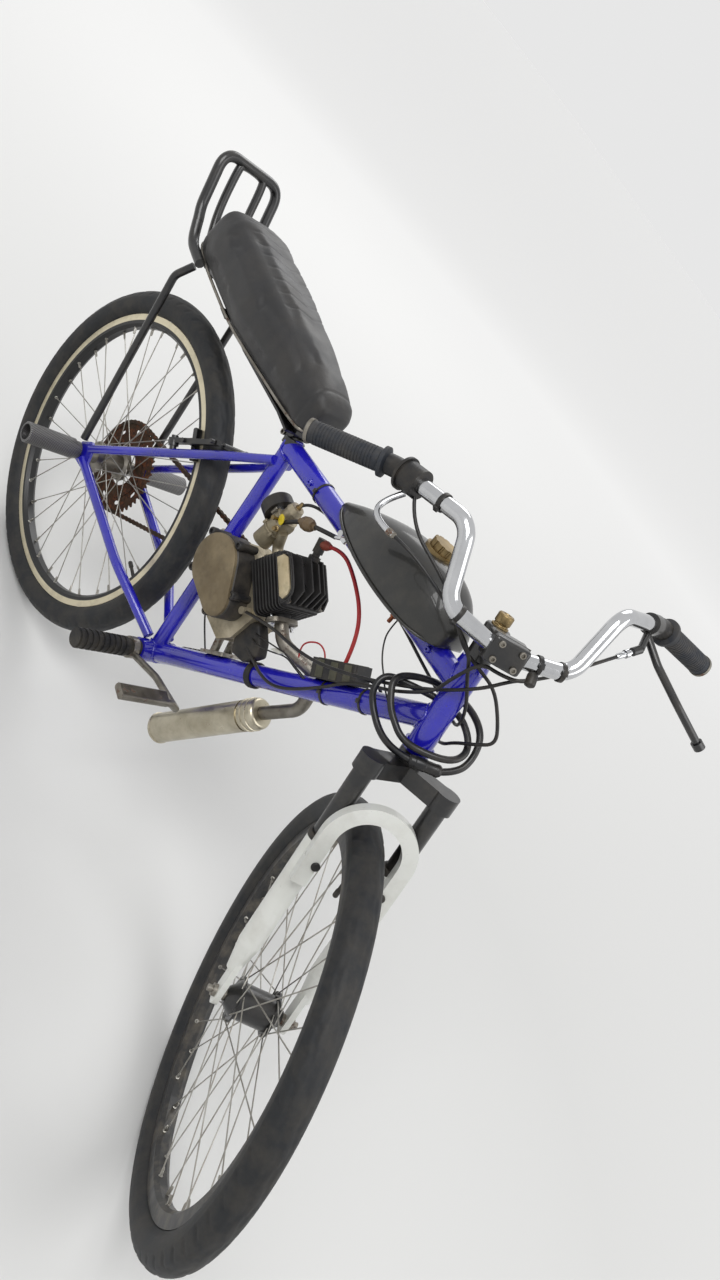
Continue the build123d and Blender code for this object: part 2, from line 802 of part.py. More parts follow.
filter_radius = 26.0
with BuildPart() as air_filter:
    filter_face = carb_centre - Vector(17 + seat_gap, 0, -3)
    with BuildSketch(Plane(origin=filter_face, z_dir=(-1, 0, 0))):
        Circle(filter_radius)
    extrude(amount=22)
    fillet(edges().group_by(Axis.X)[0], 4)
save(air_filter, "air_filter")

# Engine mounts: a clamp on each frame tube, with studs into the crankcase
front_mount = bb + down_dir * (crank_up_down_tube + 37)
with BuildPart() as engine_mounts:
    plate_centre = front_mount + down_up * (down_tube_radius + seat_gap)
    with BuildSketch(Plane(origin=plate_centre, x_dir=down_dir, z_dir=down_up)):
        RectangleRounded(56, 44, 5)
    extrude(amount=6)
    for sign in (-1, 1):
        stud_foot = plate_centre + down_up * 5 + Vector(0, sign * 15, 0)
        add(rod(stud_foot, crank + Vector(0, sign * 15, 0), 7))
    add(crankcase.part, mode=Mode.SUBTRACT)
    rear_axis_point = bb + post_dir * 232
    add(rod(rear_axis_point - post_dir * 22, rear_axis_point + post_dir * 22, seat_tube_radius + 5))
    for sign in (-1, 1):
        stud_foot = rear_axis_point + Vector(0, sign * 13, 0)
        add(rod(stud_foot, Vector(crankcase.part.bounding_box().min.X, sign * 13, stud_foot.Z), 6))
    add(seat_tube_solid, mode=Mode.SUBTRACT)
save(engine_mounts, "engine_mounts")

# Exhaust: a pipe from the front of the cylinder past the down tube's left side to the muffler
port_face = port_centre + forward_of_cylinder * (fin_half_length + 5 + seat_gap)
muffler_head = crank + Vector(167, 31, -67)
muffler_dir = turn(246.5)
with BuildPart() as exhaust_pipe:
    with BuildSketch(Plane(origin=port_face, x_dir=(0, 1, 0), z_dir=forward_of_cylinder)):
        SlotOverall(60, 30)
    extrude(amount=7)
    pipe_route = [
        port_face,
        port_face + forward_of_cylinder * 36,
        crank + Vector(178, 32, 59),
        crank + Vector(200, 34, 2),
        muffler_head,
    ]
    add(bent_rod(pipe_route, [34, 28, 34], pipe_radius))
save(exhaust_pipe, "exhaust_pipe")

cone_length = 22.0
groove_depth = 2.0
with BuildPart() as muffler:
    with BuildSketch(Plane(origin=muffler_head, x_dir=(0, 1, 0), z_dir=muffler_dir)):
        Circle(muffler_radius)
    extrude(amount=muffler_length)
    fillet(edges().filter_by(GeomType.CIRCLE), 7)
    with BuildSketch(Plane(origin=muffler_head + muffler_dir * 34, x_dir=(0, 1, 0), z_dir=muffler_dir)):
        Circle(muffler_radius + 3)
        Circle(muffler_radius - groove_depth, mode=Mode.SUBTRACT)
    extrude(amount=4, mode=Mode.SUBTRACT)
    tail_foot = muffler_head + muffler_dir * muffler_length
    add(rod(tail_foot, tail_foot + muffler_dir * 16, 7, 5))
    add(exhaust_pipe.part, mode=Mode.SUBTRACT)
save(muffler, "muffler")

# Ignition box strapped on top of the down tube
box_length = 86.0
box_width = 40.0
box_thickness = 30.0
box_back = 180.8
box_centre = by_down(box_back, 0, down_tube_radius + seat_gap)
with BuildPart() as ignition_box:
    with BuildSketch(Plane(origin=box_centre, x_dir=down_dir, z_dir=down_up)):
        RectangleRounded(box_length, box_width, 5)
    extrude(amount=box_thickness)
save(ignition_box, "ignition_box")

# Drive chain: two rows of link plates round both sprockets, with rollers between them on the runs
sprocket_radius = chain_pitch / (2 * sin(pi / sprocket_teeth))
centre_run = hypot(engine_sprocket_ahead, engine_sprocket_height)
chain_rise = atan2(engine_sprocket_height, engine_sprocket_ahead)
straight_run = (centre_run**2 - (sprocket_radius - engine_sprocket_radius) ** 2) ** 0.5
chain_lean = atan2(sprocket_radius - engine_sprocket_radius, straight_run)
rear_wrap = pi + 2 * chain_lean
engine_wrap = pi - 2 * chain_lean
loop_length = 2 * straight_run + sprocket_radius * rear_wrap + engine_sprocket_radius * engine_wrap
link_count = 2 * round(loop_length / chain_pitch / 2)


def chain_point(travel, offset):
    """A point beside the chain's pitch line, as far along it as travel and that far outside it."""
    upper = chain_rise + pi / 2 - chain_lean
    lower = chain_rise - pi / 2 + chain_lean
    if travel < straight_run:
        reach = sprocket_radius + offset
        return (reach * cos(upper) + travel * sin(upper), reach * sin(upper) - travel * cos(upper))
    travel -= straight_run
    if travel < engine_sprocket_radius * engine_wrap:
        angle = upper - travel / engine_sprocket_radius
        reach = engine_sprocket_radius + offset
        return (
            engine_sprocket_ahead + reach * cos(angle),
            engine_sprocket_height + reach * sin(angle),
        )
    travel -= engine_sprocket_radius * engine_wrap
    if travel < straight_run:
        left = straight_run - travel
        reach = sprocket_radius + offset
        return (reach * cos(lower) - left * sin(lower), reach * sin(lower) + left * cos(lower))
    travel -= straight_run
    angle = lower - travel / sprocket_radius
    reach = sprocket_radius + offset
    return (reach * cos(angle), reach * sin(angle))


plate_end = chain_height / 2
plate_waist = chain_height / 2 - 1.3
link_travel = loop_length / link_count
with BuildPart() as drive_chain:
    for row in (-1, 1):
        row_side = chain_side + row * roller_width / 2
        outer = []
        inner = []
        for link in range(link_count):
            for half, offset in ((0.0, plate_end), (0.5, plate_waist)):
                outer.append(chain_point((link + half) * link_travel, offset))
                inner.append(chain_point((link + half) * link_travel, -offset))
        with BuildSketch(side_view(0, row_side, 0)):
            with BuildLine():
                Polyline(*outer, close=True)
            make_face()
            with BuildLine():
                Polyline(*inner, close=True)
            make_face(mode=Mode.SUBTRACT)
        extrude(amount=-row * plate_thickness)
    for start in (core_margin, straight_run + engine_sprocket_radius * engine_wrap + 4):
        stop = start + straight_run - core_margin - 4
        corners = [
            chain_point(start, core_height / 2),
            chain_point(stop, core_height / 2),
            chain_point(stop, -core_height / 2),
            chain_point(start, -core_height / 2),
        ]
        with BuildSketch(side_view(0, chain_side + roller_width / 2, 0)):
            with BuildLine():
                Polyline(*corners, close=True)
            make_face()
        extrude(amount=roller_width)
save(drive_chain, "drive_chain")

# Wheels: each is made on a plane whose origin is its hub and whose normal is its axle
flange_thickness = 3.0
flange_side = 28.0
inner_spoke_lift = 0.2
outer_spoke_lift = 1.1
hub_end_gap = 6.0


def make_wheel(name, centre, hub_radius, flange_radius, hub_half):
    """Make one wheel's tyre, rim, hub and spokes."""
    axle = Axis(centre.origin, centre.z_dir)
    section = Plane(origin=centre.origin, x_dir=centre.x_dir, z_dir=centre.y_dir * -1)
    tyre_section = tyre_width / 2
    rim_floor = rim_radius - bead_depth
    rim_inner = rim_radius - rim_depth
    channel = rim_width / 2 - rim_wall
    flange_root = flange_radius - 7
    with BuildPart() as tyre:
        with BuildSketch(section):
            with Locations((tyre_radius - tyre_section, 0)):
                Circle(tyre_section)
            with Locations((rim_radius + seat_gap - tyre_width, 0)):
                Rectangle(2 * tyre_width, 2 * tyre_width, mode=Mode.SUBTRACT)
            with Locations(((rim_floor + seat_gap + rim_radius + 4) / 2, 0)):
                Rectangle(bead_depth + 4 - seat_gap, 2 * (channel - seat_gap))
        revolve(axis=axle)
    save(tyre, f"{name}_tyre")

    with BuildPart() as rim:
        with BuildSketch(section):
            with BuildLine():
                Polyline(
                    (rim_inner, -rim_width / 4),
                    (rim_inner + 5, -rim_width / 2),
                    (rim_radius, -rim_width / 2),
                    (rim_radius, -channel),
                    (rim_floor, -channel),
                    (rim_floor, channel),
                    (rim_radius, channel),
                    (rim_radius, rim_width / 2),
                    (rim_inner + 5, rim_width / 2),
                    (rim_inner, rim_width / 4),
                    close=True,
                )
            make_face()
        revolve(axis=axle)
    save(rim, f"{name}_rim")

    with BuildPart() as hub:
        with BuildSketch(section):
            with BuildLine():
                Polyline(
                    (axle_radius + axle_fit, -hub_half),
                    (axle_radius + 7, -hub_half),
                    (hub_radius * 0.8, -flange_side - 6),
                    (flange_root, -flange_side - flange_thickness / 2),
                    (flange_radius, -flange_side - flange_thickness / 2),
                    (flange_radius, -flange_side + flange_thickness / 2),
                    (flange_root, -flange_side + flange_thickness / 2),
                    (hub_radius, -flange_side + 6),
                    (hub_radius, flange_side - 6),
                    (flange_root, flange_side - flange_thickness / 2),
                    (flange_radius, flange_side - flange_thickness / 2),
                    (flange_radius, flange_side + flange_thickness / 2),
                    (flange_root, flange_side + flange_thickness / 2),
                    (hub_radius * 0.8, flange_side + 6),
                    (axle_radius + 7, hub_half),
                    (axle_radius + axle_fit, hub_half),
                    close=True,
                )
            make_face()
        revolve(axis=axle)
    save(hub, f"{name}_hub")

    hole_radius = flange_radius - 4
    with BuildPart() as spokes:
        for index in range(spokes_per_wheel):
            flange = 1 if index % 2 else -1
            lead = 1 if index % 4 < 2 else -1
            lift = outer_spoke_lift if lead > 0 else inner_spoke_lift
            spoke_seat = flange_thickness / 2 + spoke_radius + lift
            rim_turn = radians(index * 360 / spokes_per_wheel)
            hub_turn = rim_turn + lead * radians(spoke_cross)
            hub_point = centre.from_local_coords(
                Vector(
                    hole_radius * cos(hub_turn),
                    hole_radius * sin(hub_turn),
                    flange * (flange_side + lead * spoke_seat),
                )
            )
            rim_point = centre.from_local_coords(
                Vector(
                    (rim_inner - 0.5) * cos(rim_turn),
                    (rim_inner - 0.5) * sin(rim_turn),
                    flange * (3.0 + lead * 1.6),
                )
            )
            add(rod(hub_point, rim_point, spoke_radius))
    save(spokes, f"{name}_spokes")


rear_centre = Plane(origin=at(0, 0, 0), x_dir=(1, 0, 0), z_dir=(0, 1, 0))
front_centre = Plane(origin=steer(fork_offset, 0, 0), x_dir=steering.z_dir, z_dir=steering.y_dir)
make_wheel("rear", rear_centre, 18.0, 30.0, dropout_side - hub_end_gap)
make_wheel("front", front_centre, 26.0, 33.0, hub_width / 2 - hub_end_gap)

# Rear sprocket: a toothed disc, bolted through a ring that clamps it to the left-hand spokes
tooth_reach = 3.4
tooth_root = 3.6
disc_thickness = 3.2
clamp_outer = 62.0
clamp_inner = 38.0
clamp_side = 31.6
tooth_shape = (
    # share of a tooth round the disc, reach beyond the pitch circle
    (-0.32, -tooth_root),
    (-0.1, tooth_reach),
    (0.1, tooth_reach),
    (0.32, -tooth_root),
)
with BuildPart() as rear_sprocket:
    with BuildSketch(side_view(0, chain_side + disc_thickness / 2, 0)):
        with BuildLine():
            rim_points = []
            for tooth in range(sprocket_teeth):
                for share, reach in tooth_shape:
                    turned = 2 * pi * (tooth + share) / sprocket_teeth
                    tooth_radius = sprocket_radius + reach
                    rim_points.append((tooth_radius * cos(turned), tooth_radius * sin(turned)))
            Polyline(*rim_points, close=True)
        make_face()
        Circle(clamp_inner, mode=Mode.SUBTRACT)
        with PolarLocations(72, 9):
            SlotOverall(16, 8, rotation=90, mode=Mode.SUBTRACT)
    extrude(amount=disc_thickness)
    with BuildSketch(side_view(0, chain_side - disc_thickness / 2, 0)):
        Circle(clamp_outer)
        Circle(clamp_inner, mode=Mode.SUBTRACT)
    extrude(amount=chain_side - disc_thickness / 2 - clamp_side)
    with BuildSketch(side_view(0, chain_side + disc_thickness / 2 + 3, 0)):
        with PolarLocations(52, 9):
            RegularPolygon(5.5, 6)
    extrude(amount=3)
save(rear_sprocket, "rear_sprocket")

# Fork crown with its steerer and the two upper legs
steerer_top = head_tube_foot + head_tube_length + cup_height + 2
crown_radius = 22.0
with BuildPart() as fork_crown:
    add(rod(steer(0, 0, crown_foot), steer(0, 0, steerer_top), steerer_radius))
    crown_plane = steer_plane(0, 0, crown_foot, (1, 0, 0), (0, 0, 1))
    with BuildSketch(crown_plane):
        Circle(crown_radius)
        with Locations((leg_ahead, leg_side), (leg_ahead, -leg_side)):
            Circle(19)
        with BuildLine():
            Polyline(
                (-crown_radius, 0),
                (0, -crown_radius),
                (leg_ahead - 12, -leg_side - 12),
                (leg_ahead + 17, -leg_side + 5),
                (crown_radius, 0),
                (leg_ahead + 17, leg_side - 5),
                (leg_ahead - 12, leg_side + 12),
                (0, crown_radius),
                close=True,
            )
        make_face()
    extrude(amount=crown_height)
    race_foot = steer(0, 0, crown_foot + crown_height)
    add(rod(race_foot, steer(0, 0, head_tube_foot - cup_height - seat_gap), 20))
    for sign in (-1, 1):
        leg_top = steer(leg_ahead, sign * leg_side, crown_foot + crown_height)
        add(rod(steer(leg_ahead, sign * leg_side, lower_top + seat_gap), leg_top, upper_radius))
save(fork_crown, "fork_crown")

# Fork lowers: two legs with flat dropouts, joined by an arch over the tyre
arch_forward = leg_ahead + upper_radius + 1
arch_depth = 17.0
arch_foot_drop = 40.0
arch_half = 11.0
tongue_width = 26.0
tongue_thickness = 9.0
with BuildPart() as fork_lowers:
    for sign in (-1, 1):
        leg_foot = steer(leg_ahead, sign * leg_side, lower_foot)
        add(rod(leg_foot, steer(leg_ahead, sign * leg_side, lower_top), lower_radius))
        with BuildSketch(steer_plane(leg_ahead, sign * leg_side, lower_foot, (1, 0, 0), (0, 0, -1))):
            Circle(lower_radius)
        with BuildSketch(steer_plane(leg_ahead, sign * (hub_width / 2 + 7), 46, (1, 0, 0), (0, 0, -1))):
            Circle(10)
        loft()
        tongue_side = hub_width / 2 if sign > 0 else -hub_width / 2
        with BuildSketch(steer_plane(fork_offset, tongue_side, 0, (1, 0, 0), (0, sign, 0))):
            with Locations((0, -sign * 26)):
                SlotOverall(90, tongue_width, rotation=90)
        extrude(amount=tongue_thickness)
    with BuildSketch(steer_plane(arch_forward, 0, arch_centre, (0, 1, 0), (1, 0, 0))):
        Circle(arch_radius + arch_half)
        Circle(arch_radius - arch_half, mode=Mode.SUBTRACT)
        with Locations((0, -arch_radius)):
            Rectangle(4 * arch_radius, 2 * arch_radius, mode=Mode.SUBTRACT)
        with Locations((arch_radius, -arch_foot_drop), (-arch_radius, -arch_foot_drop)):
            Rectangle(2 * arch_half, 2 * arch_foot_drop)
    extrude(amount=arch_depth)
    with BuildSketch(steer_plane(leg_ahead, 0, lower_top, (0, 1, 0), (1, 0, 0))):
        foot_height = lower_top - arch_centre + 2 * arch_foot_drop
        with Locations((leg_side, -foot_height / 2), (-leg_side, -foot_height / 2)):
            Rectangle(2 * arch_half, foot_height)
    extrude(amount=upper_radius + 2)
    axle_hole = rod(steer(fork_offset, -80, 0), steer(fork_offset, 80, 0), axle_radius + axle_fit)
    add(axle_hole, mode=Mode.SUBTRACT)
save(fork_lowers, "fork_lowers")

# Front axle with its nuts, and the spacers between the fork and the hub
with BuildPart() as front_axle:
    add(rod(steer(fork_offset, -72, 0), steer(fork_offset, 72, 0), axle_radius))
    for sign in (-1, 1):
        nut_side = hub_width / 2 + tongue_thickness
        nut_foot = steer(fork_offset, sign * nut_side, 0)
        add(rod(nut_foot, steer(fork_offset, sign * (nut_side + 6), 0), nut_radius))
        spacer_end = steer(fork_offset, sign * (hub_width / 2 - hub_end_gap + 0.5), 0)
        add(rod(spacer_end, steer(fork_offset, sign * hub_width / 2, 0), 8.5))
save(front_axle, "front_axle")

# Stem and handlebar
clamp_radius = 19.0
with BuildPart() as stem:
    add(rod(steer(0, 0, steerer_top + seat_gap), by_bar(0, 0, -20), 13.5))
    add(rod(by_bar(0, 0, -22), by_bar(0, 0, 8), 16))
    add(rod(by_bar(4, 0, -8), by_bar(clamp_forward - 8, 0, 0), 13))
    clamp_right = by_bar(clamp_forward, -clamp_radius, 0)
    clamp_left = by_bar(clamp_forward, clamp_radius, 0)
    add(rod(clamp_right, clamp_left, clamp_radius))
    add(rod(clamp_right, clamp_left, bar_radius), mode=Mode.SUBTRACT)
save(stem, "stem")

bar_half = (
    # forward, left, along
    (clamp_forward, 19.0, clamp_along),
    (58.0, 92.0, clamp_along + 14),
    (33.0, 116.0, clamp_along + 109),
    (-60.0, 212.0, clamp_along + 112),
    (-113.0, 329.0, clamp_along + 89),
)
right_half = [steer(u, -v, s) for u, v, s in reversed(bar_half)]
left_half = [steer(u, v, s) for u, v, s in bar_half]
with BuildPart() as handlebar:
    add(bent_rod(right_half + left_half, [60, 34, 34, 60, 60, 34, 34, 60], bar_radius))
save(handlebar, "handlebar")

bar_inner = Vector(*bar_half[3])
bar_outer = Vector(*bar_half[4])
grip_dir = (bar_outer - bar_inner).normalized()
lead_dir = (Vector(*bar_half[2]) - bar_inner).normalized()


def on_bar(sign, along):
    """A place on one side's straight grip section, as far out from its inner bend as along."""
    place = bar_inner + grip_dir * along
    return steer(place.X, sign * place.Y, place.Z)


def before_grip(sign, along):
    """A place on one side of the bar, as far in from the grip's inner bend as along."""
    place = bar_inner + lead_dir * along
    return steer(place.X, sign * place.Y, place.Z)


bar_reach = (bar_outer - bar_inner).length
with BuildPart() as grips:
    for sign in (-1, 1):
        add(rod(on_bar(sign, bar_reach - grip_length), on_bar(sign, bar_reach + 1), grip_radius, bar_radius))
        add(rod(on_bar(sign, bar_reach + 0.5), on_bar(sign, bar_reach + 5), grip_radius))
save(grips, "grips")

with BuildPart() as throttle_housing:
    add(rod(before_grip(-1, 16), before_grip(-1, 46), 20, bar_radius))
    add(rod(before_grip(-1, 14), before_grip(-1, 18), 23, bar_radius))
save(throttle_housing, "throttle_housing")

with BuildPart() as clutch_lever:
    add(rod(before_grip(1, 18), before_grip(1, 40), 15, bar_radius))
    lever_route = [
        by_bar(-30, 190, 96),
        by_bar(-4, 214, 72),
        by_bar(16, 262, 42),
        by_bar(16, 320, 11),
    ]
    add(bent_rod(lever_route, [30, 50], 5.5))
    add(rod(by_bar(16, 316, 13), by_bar(16, 326, 8), 8))
    add(rod(by_bar(-34, 190, 100), by_bar(-5.4, 181.3, 78.8), 5))
    add(rod(by_bar(-5.4, 181.3, 78.8), by_bar(0, 171, 71), 6))
    add(handlebar.part, mode=Mode.SUBTRACT)
save(clutch_lever, "clutch_lever")

with BuildPart() as control_box:
    box_top = clamp_along + 24
    with BuildSketch(steer_plane(clamp_forward + 10, 50, box_top, (1, 0, 0), (0, 0, 1))):
        RectangleRounded(40, 50, 5)
    extrude(amount=-36)
    add(handlebar.part, mode=Mode.SUBTRACT)
save(control_box, "control_box")

# Rear rim brake: an arm on a pivot behind each seat stay, a pad beside the rim, and the cable with
# its boot across the tops of the arms
brake_travel = rim_radius - 72
pad_rise = 28.0
arm_back = 22.0
arm_thickness = 9.0
arm_height = 102.0
pad_gap = 2.5
pad_thickness = 12.0
pad_length = 58.0
pad_height = 10.0
stay_back = turn(degrees(atan2(stay_dir.Z, stay_dir.X)) + 90)
pivot_side = stay_foot_side + (stay_knee_side - stay_foot_side) * brake_travel / stay_knee_travel
pad_side = rim_width / 2 + pad_gap
pad_place = on_stay(brake_travel + pad_rise) + stay_back * arm_back
pad_ahead = pad_place.X + seat_ahead
pad_up = pad_place.Z + seat_height
arm_face = on_stay(brake_travel) + stay_back * (arm_back + arm_thickness / 2)
arm_plane = Plane(origin=arm_face, x_dir=(0, 1, 0), z_dir=stay_back * -1)
with BuildPart() as rear_brake:
    for sign in (-1, 1):
        pivot = on_stay(brake_travel, sign * pivot_side)
        add(rod(pivot, pivot + stay_back * (arm_back + arm_thickness), 6))
        add(rod(pivot + stay_back * (arm_back - arm_thickness), pivot + stay_back * arm_back, 9))
        with BuildSketch(arm_plane):
            with BuildLine():
                Polyline(
                    (sign * 54, -6),
                    (sign * 46, 40),
                    (sign * 38, arm_height),
                    (sign * 29, arm_height),
                    (sign * 36, 40),
                    (sign * 38, -6),
                    close=True,
                )
            make_face()
        extrude(amount=arm_thickness)
        with BuildSketch(side_view(0, sign * pad_side, 0)):
            with PolarLocations(hypot(pad_ahead, pad_up), 1, degrees(atan2(pad_up, pad_ahead))):
                RectangleRounded(pad_height, pad_length, 3)
        extrude(amount=-sign * pad_thickness)
        holder_foot = pad_place + Vector(0, sign * (pad_side + pad_thickness - 1), 0)
        add(rod(holder_foot, pad_place + Vector(0, sign * 52, 0), 4))
        add(seat_stay_solids[sign], mode=Mode.SUBTRACT)
    arm_top = on_stay(brake_travel + arm_height - 6) + stay_back * arm_back
    add(rod(arm_top - Vector(0, 48, 0), arm_top + Vector(0, 44, 0), 1.2))
    add(rod(arm_top - Vector(0, 18, 0), arm_top + Vector(0, 29, 0), 5))
    add(rod(arm_top - Vector(0, 48, 0), arm_top - Vector(0, 40, 0), 4))
save(rear_brake, "rear_brake")

# Fuel hose from the tap's spigot to the side of the carburettor
hose_route = [
    spigot_end + turn(spigot_angle) * seat_gap,
    by_top(331.9, -27, -25.8),
    by_crank(-22, -29, 174),
    by_crank(-41, -30, 149),
    by_crank(-52, -25, 132),
]
with BuildPart() as fuel_hose:
    add(cord(hose_route, hose_radius))
    add(carburetor.part, mode=Mode.SUBTRACT)
    add(fuel_tap.part, mode=Mode.SUBTRACT)
save(fuel_hose, "fuel_hose")

# Ignition lead from the plug's boot to the top of the ignition box
lead_route = [
    outlet_place + outlet_dir * (outlet_length + seat_gap),
    by_crank(46, -3, 204),
    by_top(241.6, -8, -33.1),
    by_top(190.1, -9, -56),
    by_down(158.2, -9, 78),
    by_down(168.8, -8, down_tube_radius + box_thickness + 2 * seat_gap),
]
with BuildPart() as ignition_lead:
    add(cord(lead_route, lead_radius))
    add(ignition_box.part, mode=Mode.SUBTRACT)
save(ignition_lead, "ignition_lead")

# Cables on the steering assembly, each with one end beside the steering axis
clutch_bar_route = [
    by_bar(0.1, 170.8, 70.8),
    by_bar(20, 133, 42),
    by_bar(42, 86, 2),
    by_bar(56, 50, -20),
    by_bar(58, 34, -28.5),
]
throttle_bar_route = [
    by_bar(-38.5, -190, 91.2),
    by_bar(-36, -214, 66),
    by_bar(-14, -208, 47),
    by_bar(20, -158, 42),
    by_bar(40, -103, 19),
    by_bar(50, -66, -2),
    by_bar(44, -28, -28.5),
]
stop_bar_route = [
    by_bar(-26.1, -179.1, 94.7),
    by_bar(-4, -168, 66),
    by_bar(30, -114, 38),
    by_bar(43, -79, 14),
    by_bar(35, -38, -28.5),
]
light_bar_route = [
    by_bar(54, -12, -28.5),
    by_bar(66, 10, -28),
    by_bar(76, 36, -22),
    by_bar(76, 46, -12 - seat_gap),
]
with BuildPart() as bar_cables:
    for route in (clutch_bar_route, throttle_bar_route, stop_bar_route, light_bar_route):
        add(cord(route, cable_radius))
    add(throttle_housing.part, mode=Mode.SUBTRACT)
    add(control_box.part, mode=Mode.SUBTRACT)
save(bar_cables, "bar_cables")

# The same cables along the frame, each from beside the steering axis to what it works
clutch_frame_route = [
    by_bar(57.5, 32.5, -33),
    by_bar(53, 4, -62),
    by_top(13.6, -24, -28.6),
    by_down(74.4, -30, 32.1),
    by_down(127.9, -42, 33),
    by_down(189, -50, 40.1),
    by_crank(150, -52, 90),
    by_crank(100, -50, 66),
    by_crank(51, -46, 28.8),
]
throttle_frame_route = [
    by_bar(44, -28, -33),
    by_bar(33, -10, -59),
    by_bar(25, 10, -87),
    by_bar(16, 24, -114),
    by_head(15.8, 28, 39.9),
    by_head(-20.2, 40, 50),
    by_top(60, 34, -44),
    by_top(158.8, 28, -27.7),
    by_top(299.5, 26, -17.1),
    by_top(361.1, 22, -18.7),
    by_crank(-60, -12, 185),
    by_crank(-62, -12, 164 + seat_gap),
]
stop_frame_route = [
    by_bar(34, -38, -34.5),
    by_bar(37, 0, -43),
    by_bar(36, 30, -56),
    by_bar(46.8, 52.3, -85),
    by_head(84.6, 16, 65.8),
    by_head(61.5, 14, 47.5),
    by_head(31.3, 18, 27.8),
    by_head(16, 22, 12.6),
    by_head(-13.9, 44, 3.7),
    by_down(79.1, 30, -12.2),
    by_down(117, 26, 1.6),
    by_down(115.5, 14, 27.7),
    by_down(137.3, 10, 30.2),
]
light_frame_route = [
    by_bar(54, -12, -33),
    by_bar(30, -26, -74),
    by_top(2.6, -33, -22.7),
    by_down(51.8, -31, 24),
    by_down(86.8, -26, 24),
    by_down(140.1, -26, 22.6),
    by_down(193.3, -24, 5),
    by_down(269.1, -24, -10.8),
    by_crank(151, -26, 0),
    by_crank(98, -26, -7),
    by_crank(60.3, -20, -13),
]
frame_routes = (clutch_frame_route, throttle_frame_route, stop_frame_route, light_frame_route)
with BuildPart() as frame_cables:
    for route in frame_routes:
        add(cord(route, cable_radius))
save(frame_cables, "frame_cables")

# Cable lock wound twice round the head of the frame, its two ends in one barrel
lock_places = (
    # forward of the head tube's axis, left, above the head tube's foot
    (47.7, 0.0, -9.8),
    (60.6, 20.0, -0.1),
    (58.3, 38.0, 24.9),
    (44.0, 46.0, 54.0),
    (6.0, 47.0, 70.0),
    (-36.0, 27.0, 74.0),
    (-62.0, -4.0, 67.0),
    (-69.0, -41.0, 56.0),
    (-45.9, -45.0, 26.8),
    (-31.0, -42.0, 14.0),
    (-6.1, -37.0, -0.7),
    (24.7, -26.0, 2.4),
    (52.0, 2.0, 10.2),
    (53.8, 24.0, 24.6),
    (39.0, 31.0, 42.0),
    (8.0, 30.3, 58.0),
    (-27.5, 14.2, 58.0),
    (-63.5, -10.0, 52.0),
    (-84.6, -34.0, 49.4),
    (-83.3, -46.0, 27.1),
    (-68.7, -43.0, 5.6),
    (-35.2, -42.0, -15.4),
    (0.3, -38.0, -18.7),
    (19.4, -28.0, -15.0),
)
lock_route = [by_head(*place) for place in lock_places]
barrel_radius_of_lock = 8.0
with BuildPart() as cable_lock:
    add(cord(lock_route, lock_radius))
    add(rod(lock_route[-1], lock_route[0], barrel_radius_of_lock))
save(cable_lock, "cable_lock")
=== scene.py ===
"""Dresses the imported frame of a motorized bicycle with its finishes, soft parts and small pieces."""

import json
import logging
import math
from dataclasses import dataclass
from enum import Enum
from typing import Sequence

import bpy
from mathutils import Matrix, Vector

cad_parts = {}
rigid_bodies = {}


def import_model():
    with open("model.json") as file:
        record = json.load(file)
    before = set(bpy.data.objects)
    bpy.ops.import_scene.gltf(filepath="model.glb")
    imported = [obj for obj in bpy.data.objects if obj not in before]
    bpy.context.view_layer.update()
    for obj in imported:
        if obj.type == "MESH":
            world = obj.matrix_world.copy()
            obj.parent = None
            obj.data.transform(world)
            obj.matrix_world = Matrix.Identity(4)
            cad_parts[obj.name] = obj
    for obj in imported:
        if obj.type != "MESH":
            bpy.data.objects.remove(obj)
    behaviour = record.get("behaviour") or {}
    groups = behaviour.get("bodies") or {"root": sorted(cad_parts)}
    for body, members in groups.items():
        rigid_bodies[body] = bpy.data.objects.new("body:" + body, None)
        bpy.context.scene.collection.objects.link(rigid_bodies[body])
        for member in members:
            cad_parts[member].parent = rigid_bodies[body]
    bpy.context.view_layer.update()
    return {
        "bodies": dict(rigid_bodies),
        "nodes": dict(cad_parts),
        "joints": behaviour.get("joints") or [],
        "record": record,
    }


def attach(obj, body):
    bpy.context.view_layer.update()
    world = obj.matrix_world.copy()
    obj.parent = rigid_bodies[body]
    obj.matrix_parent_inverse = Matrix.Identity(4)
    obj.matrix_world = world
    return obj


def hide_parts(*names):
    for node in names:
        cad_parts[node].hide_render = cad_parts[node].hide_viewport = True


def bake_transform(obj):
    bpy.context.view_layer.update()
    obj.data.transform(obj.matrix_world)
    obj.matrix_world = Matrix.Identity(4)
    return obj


log = logging.getLogger("motorized_bicycle")

Colour = tuple[float, float, float]
Triple = tuple[float, float, float]

AXLE = Vector((-0.060, 0.0, -0.512))
FORK_OFFSET = 0.040
GROUND = -0.845


def srgb(red: int, green: int, blue: int) -> Colour:
    """Turn a screen colour from 0 to 255 into the linear colour that a shader takes.

    Args:
        red: Red on screen.
        green: Green on screen.
        blue: Blue on screen.

    Returns:
        The linear colour.
    """
    values = []
    for part in (red, green, blue):
        share = part / 255
        values.append(share / 12.92 if share <= 0.04045 else ((share + 0.055) / 1.055) ** 2.4)
    return values[0], values[1], values[2]


def at(ahead: float, left: float, up: float) -> Vector:
    """A place measured in millimetres from the rear axle.

    Args:
        ahead: Distance ahead of the rear axle.
        left: Distance to the bicycle's left.
        up: Height above the rear axle.

    Returns:
        The place in the model's frame, in metres.
    """
    return AXLE + Vector((ahead, left, up)) * 0.001


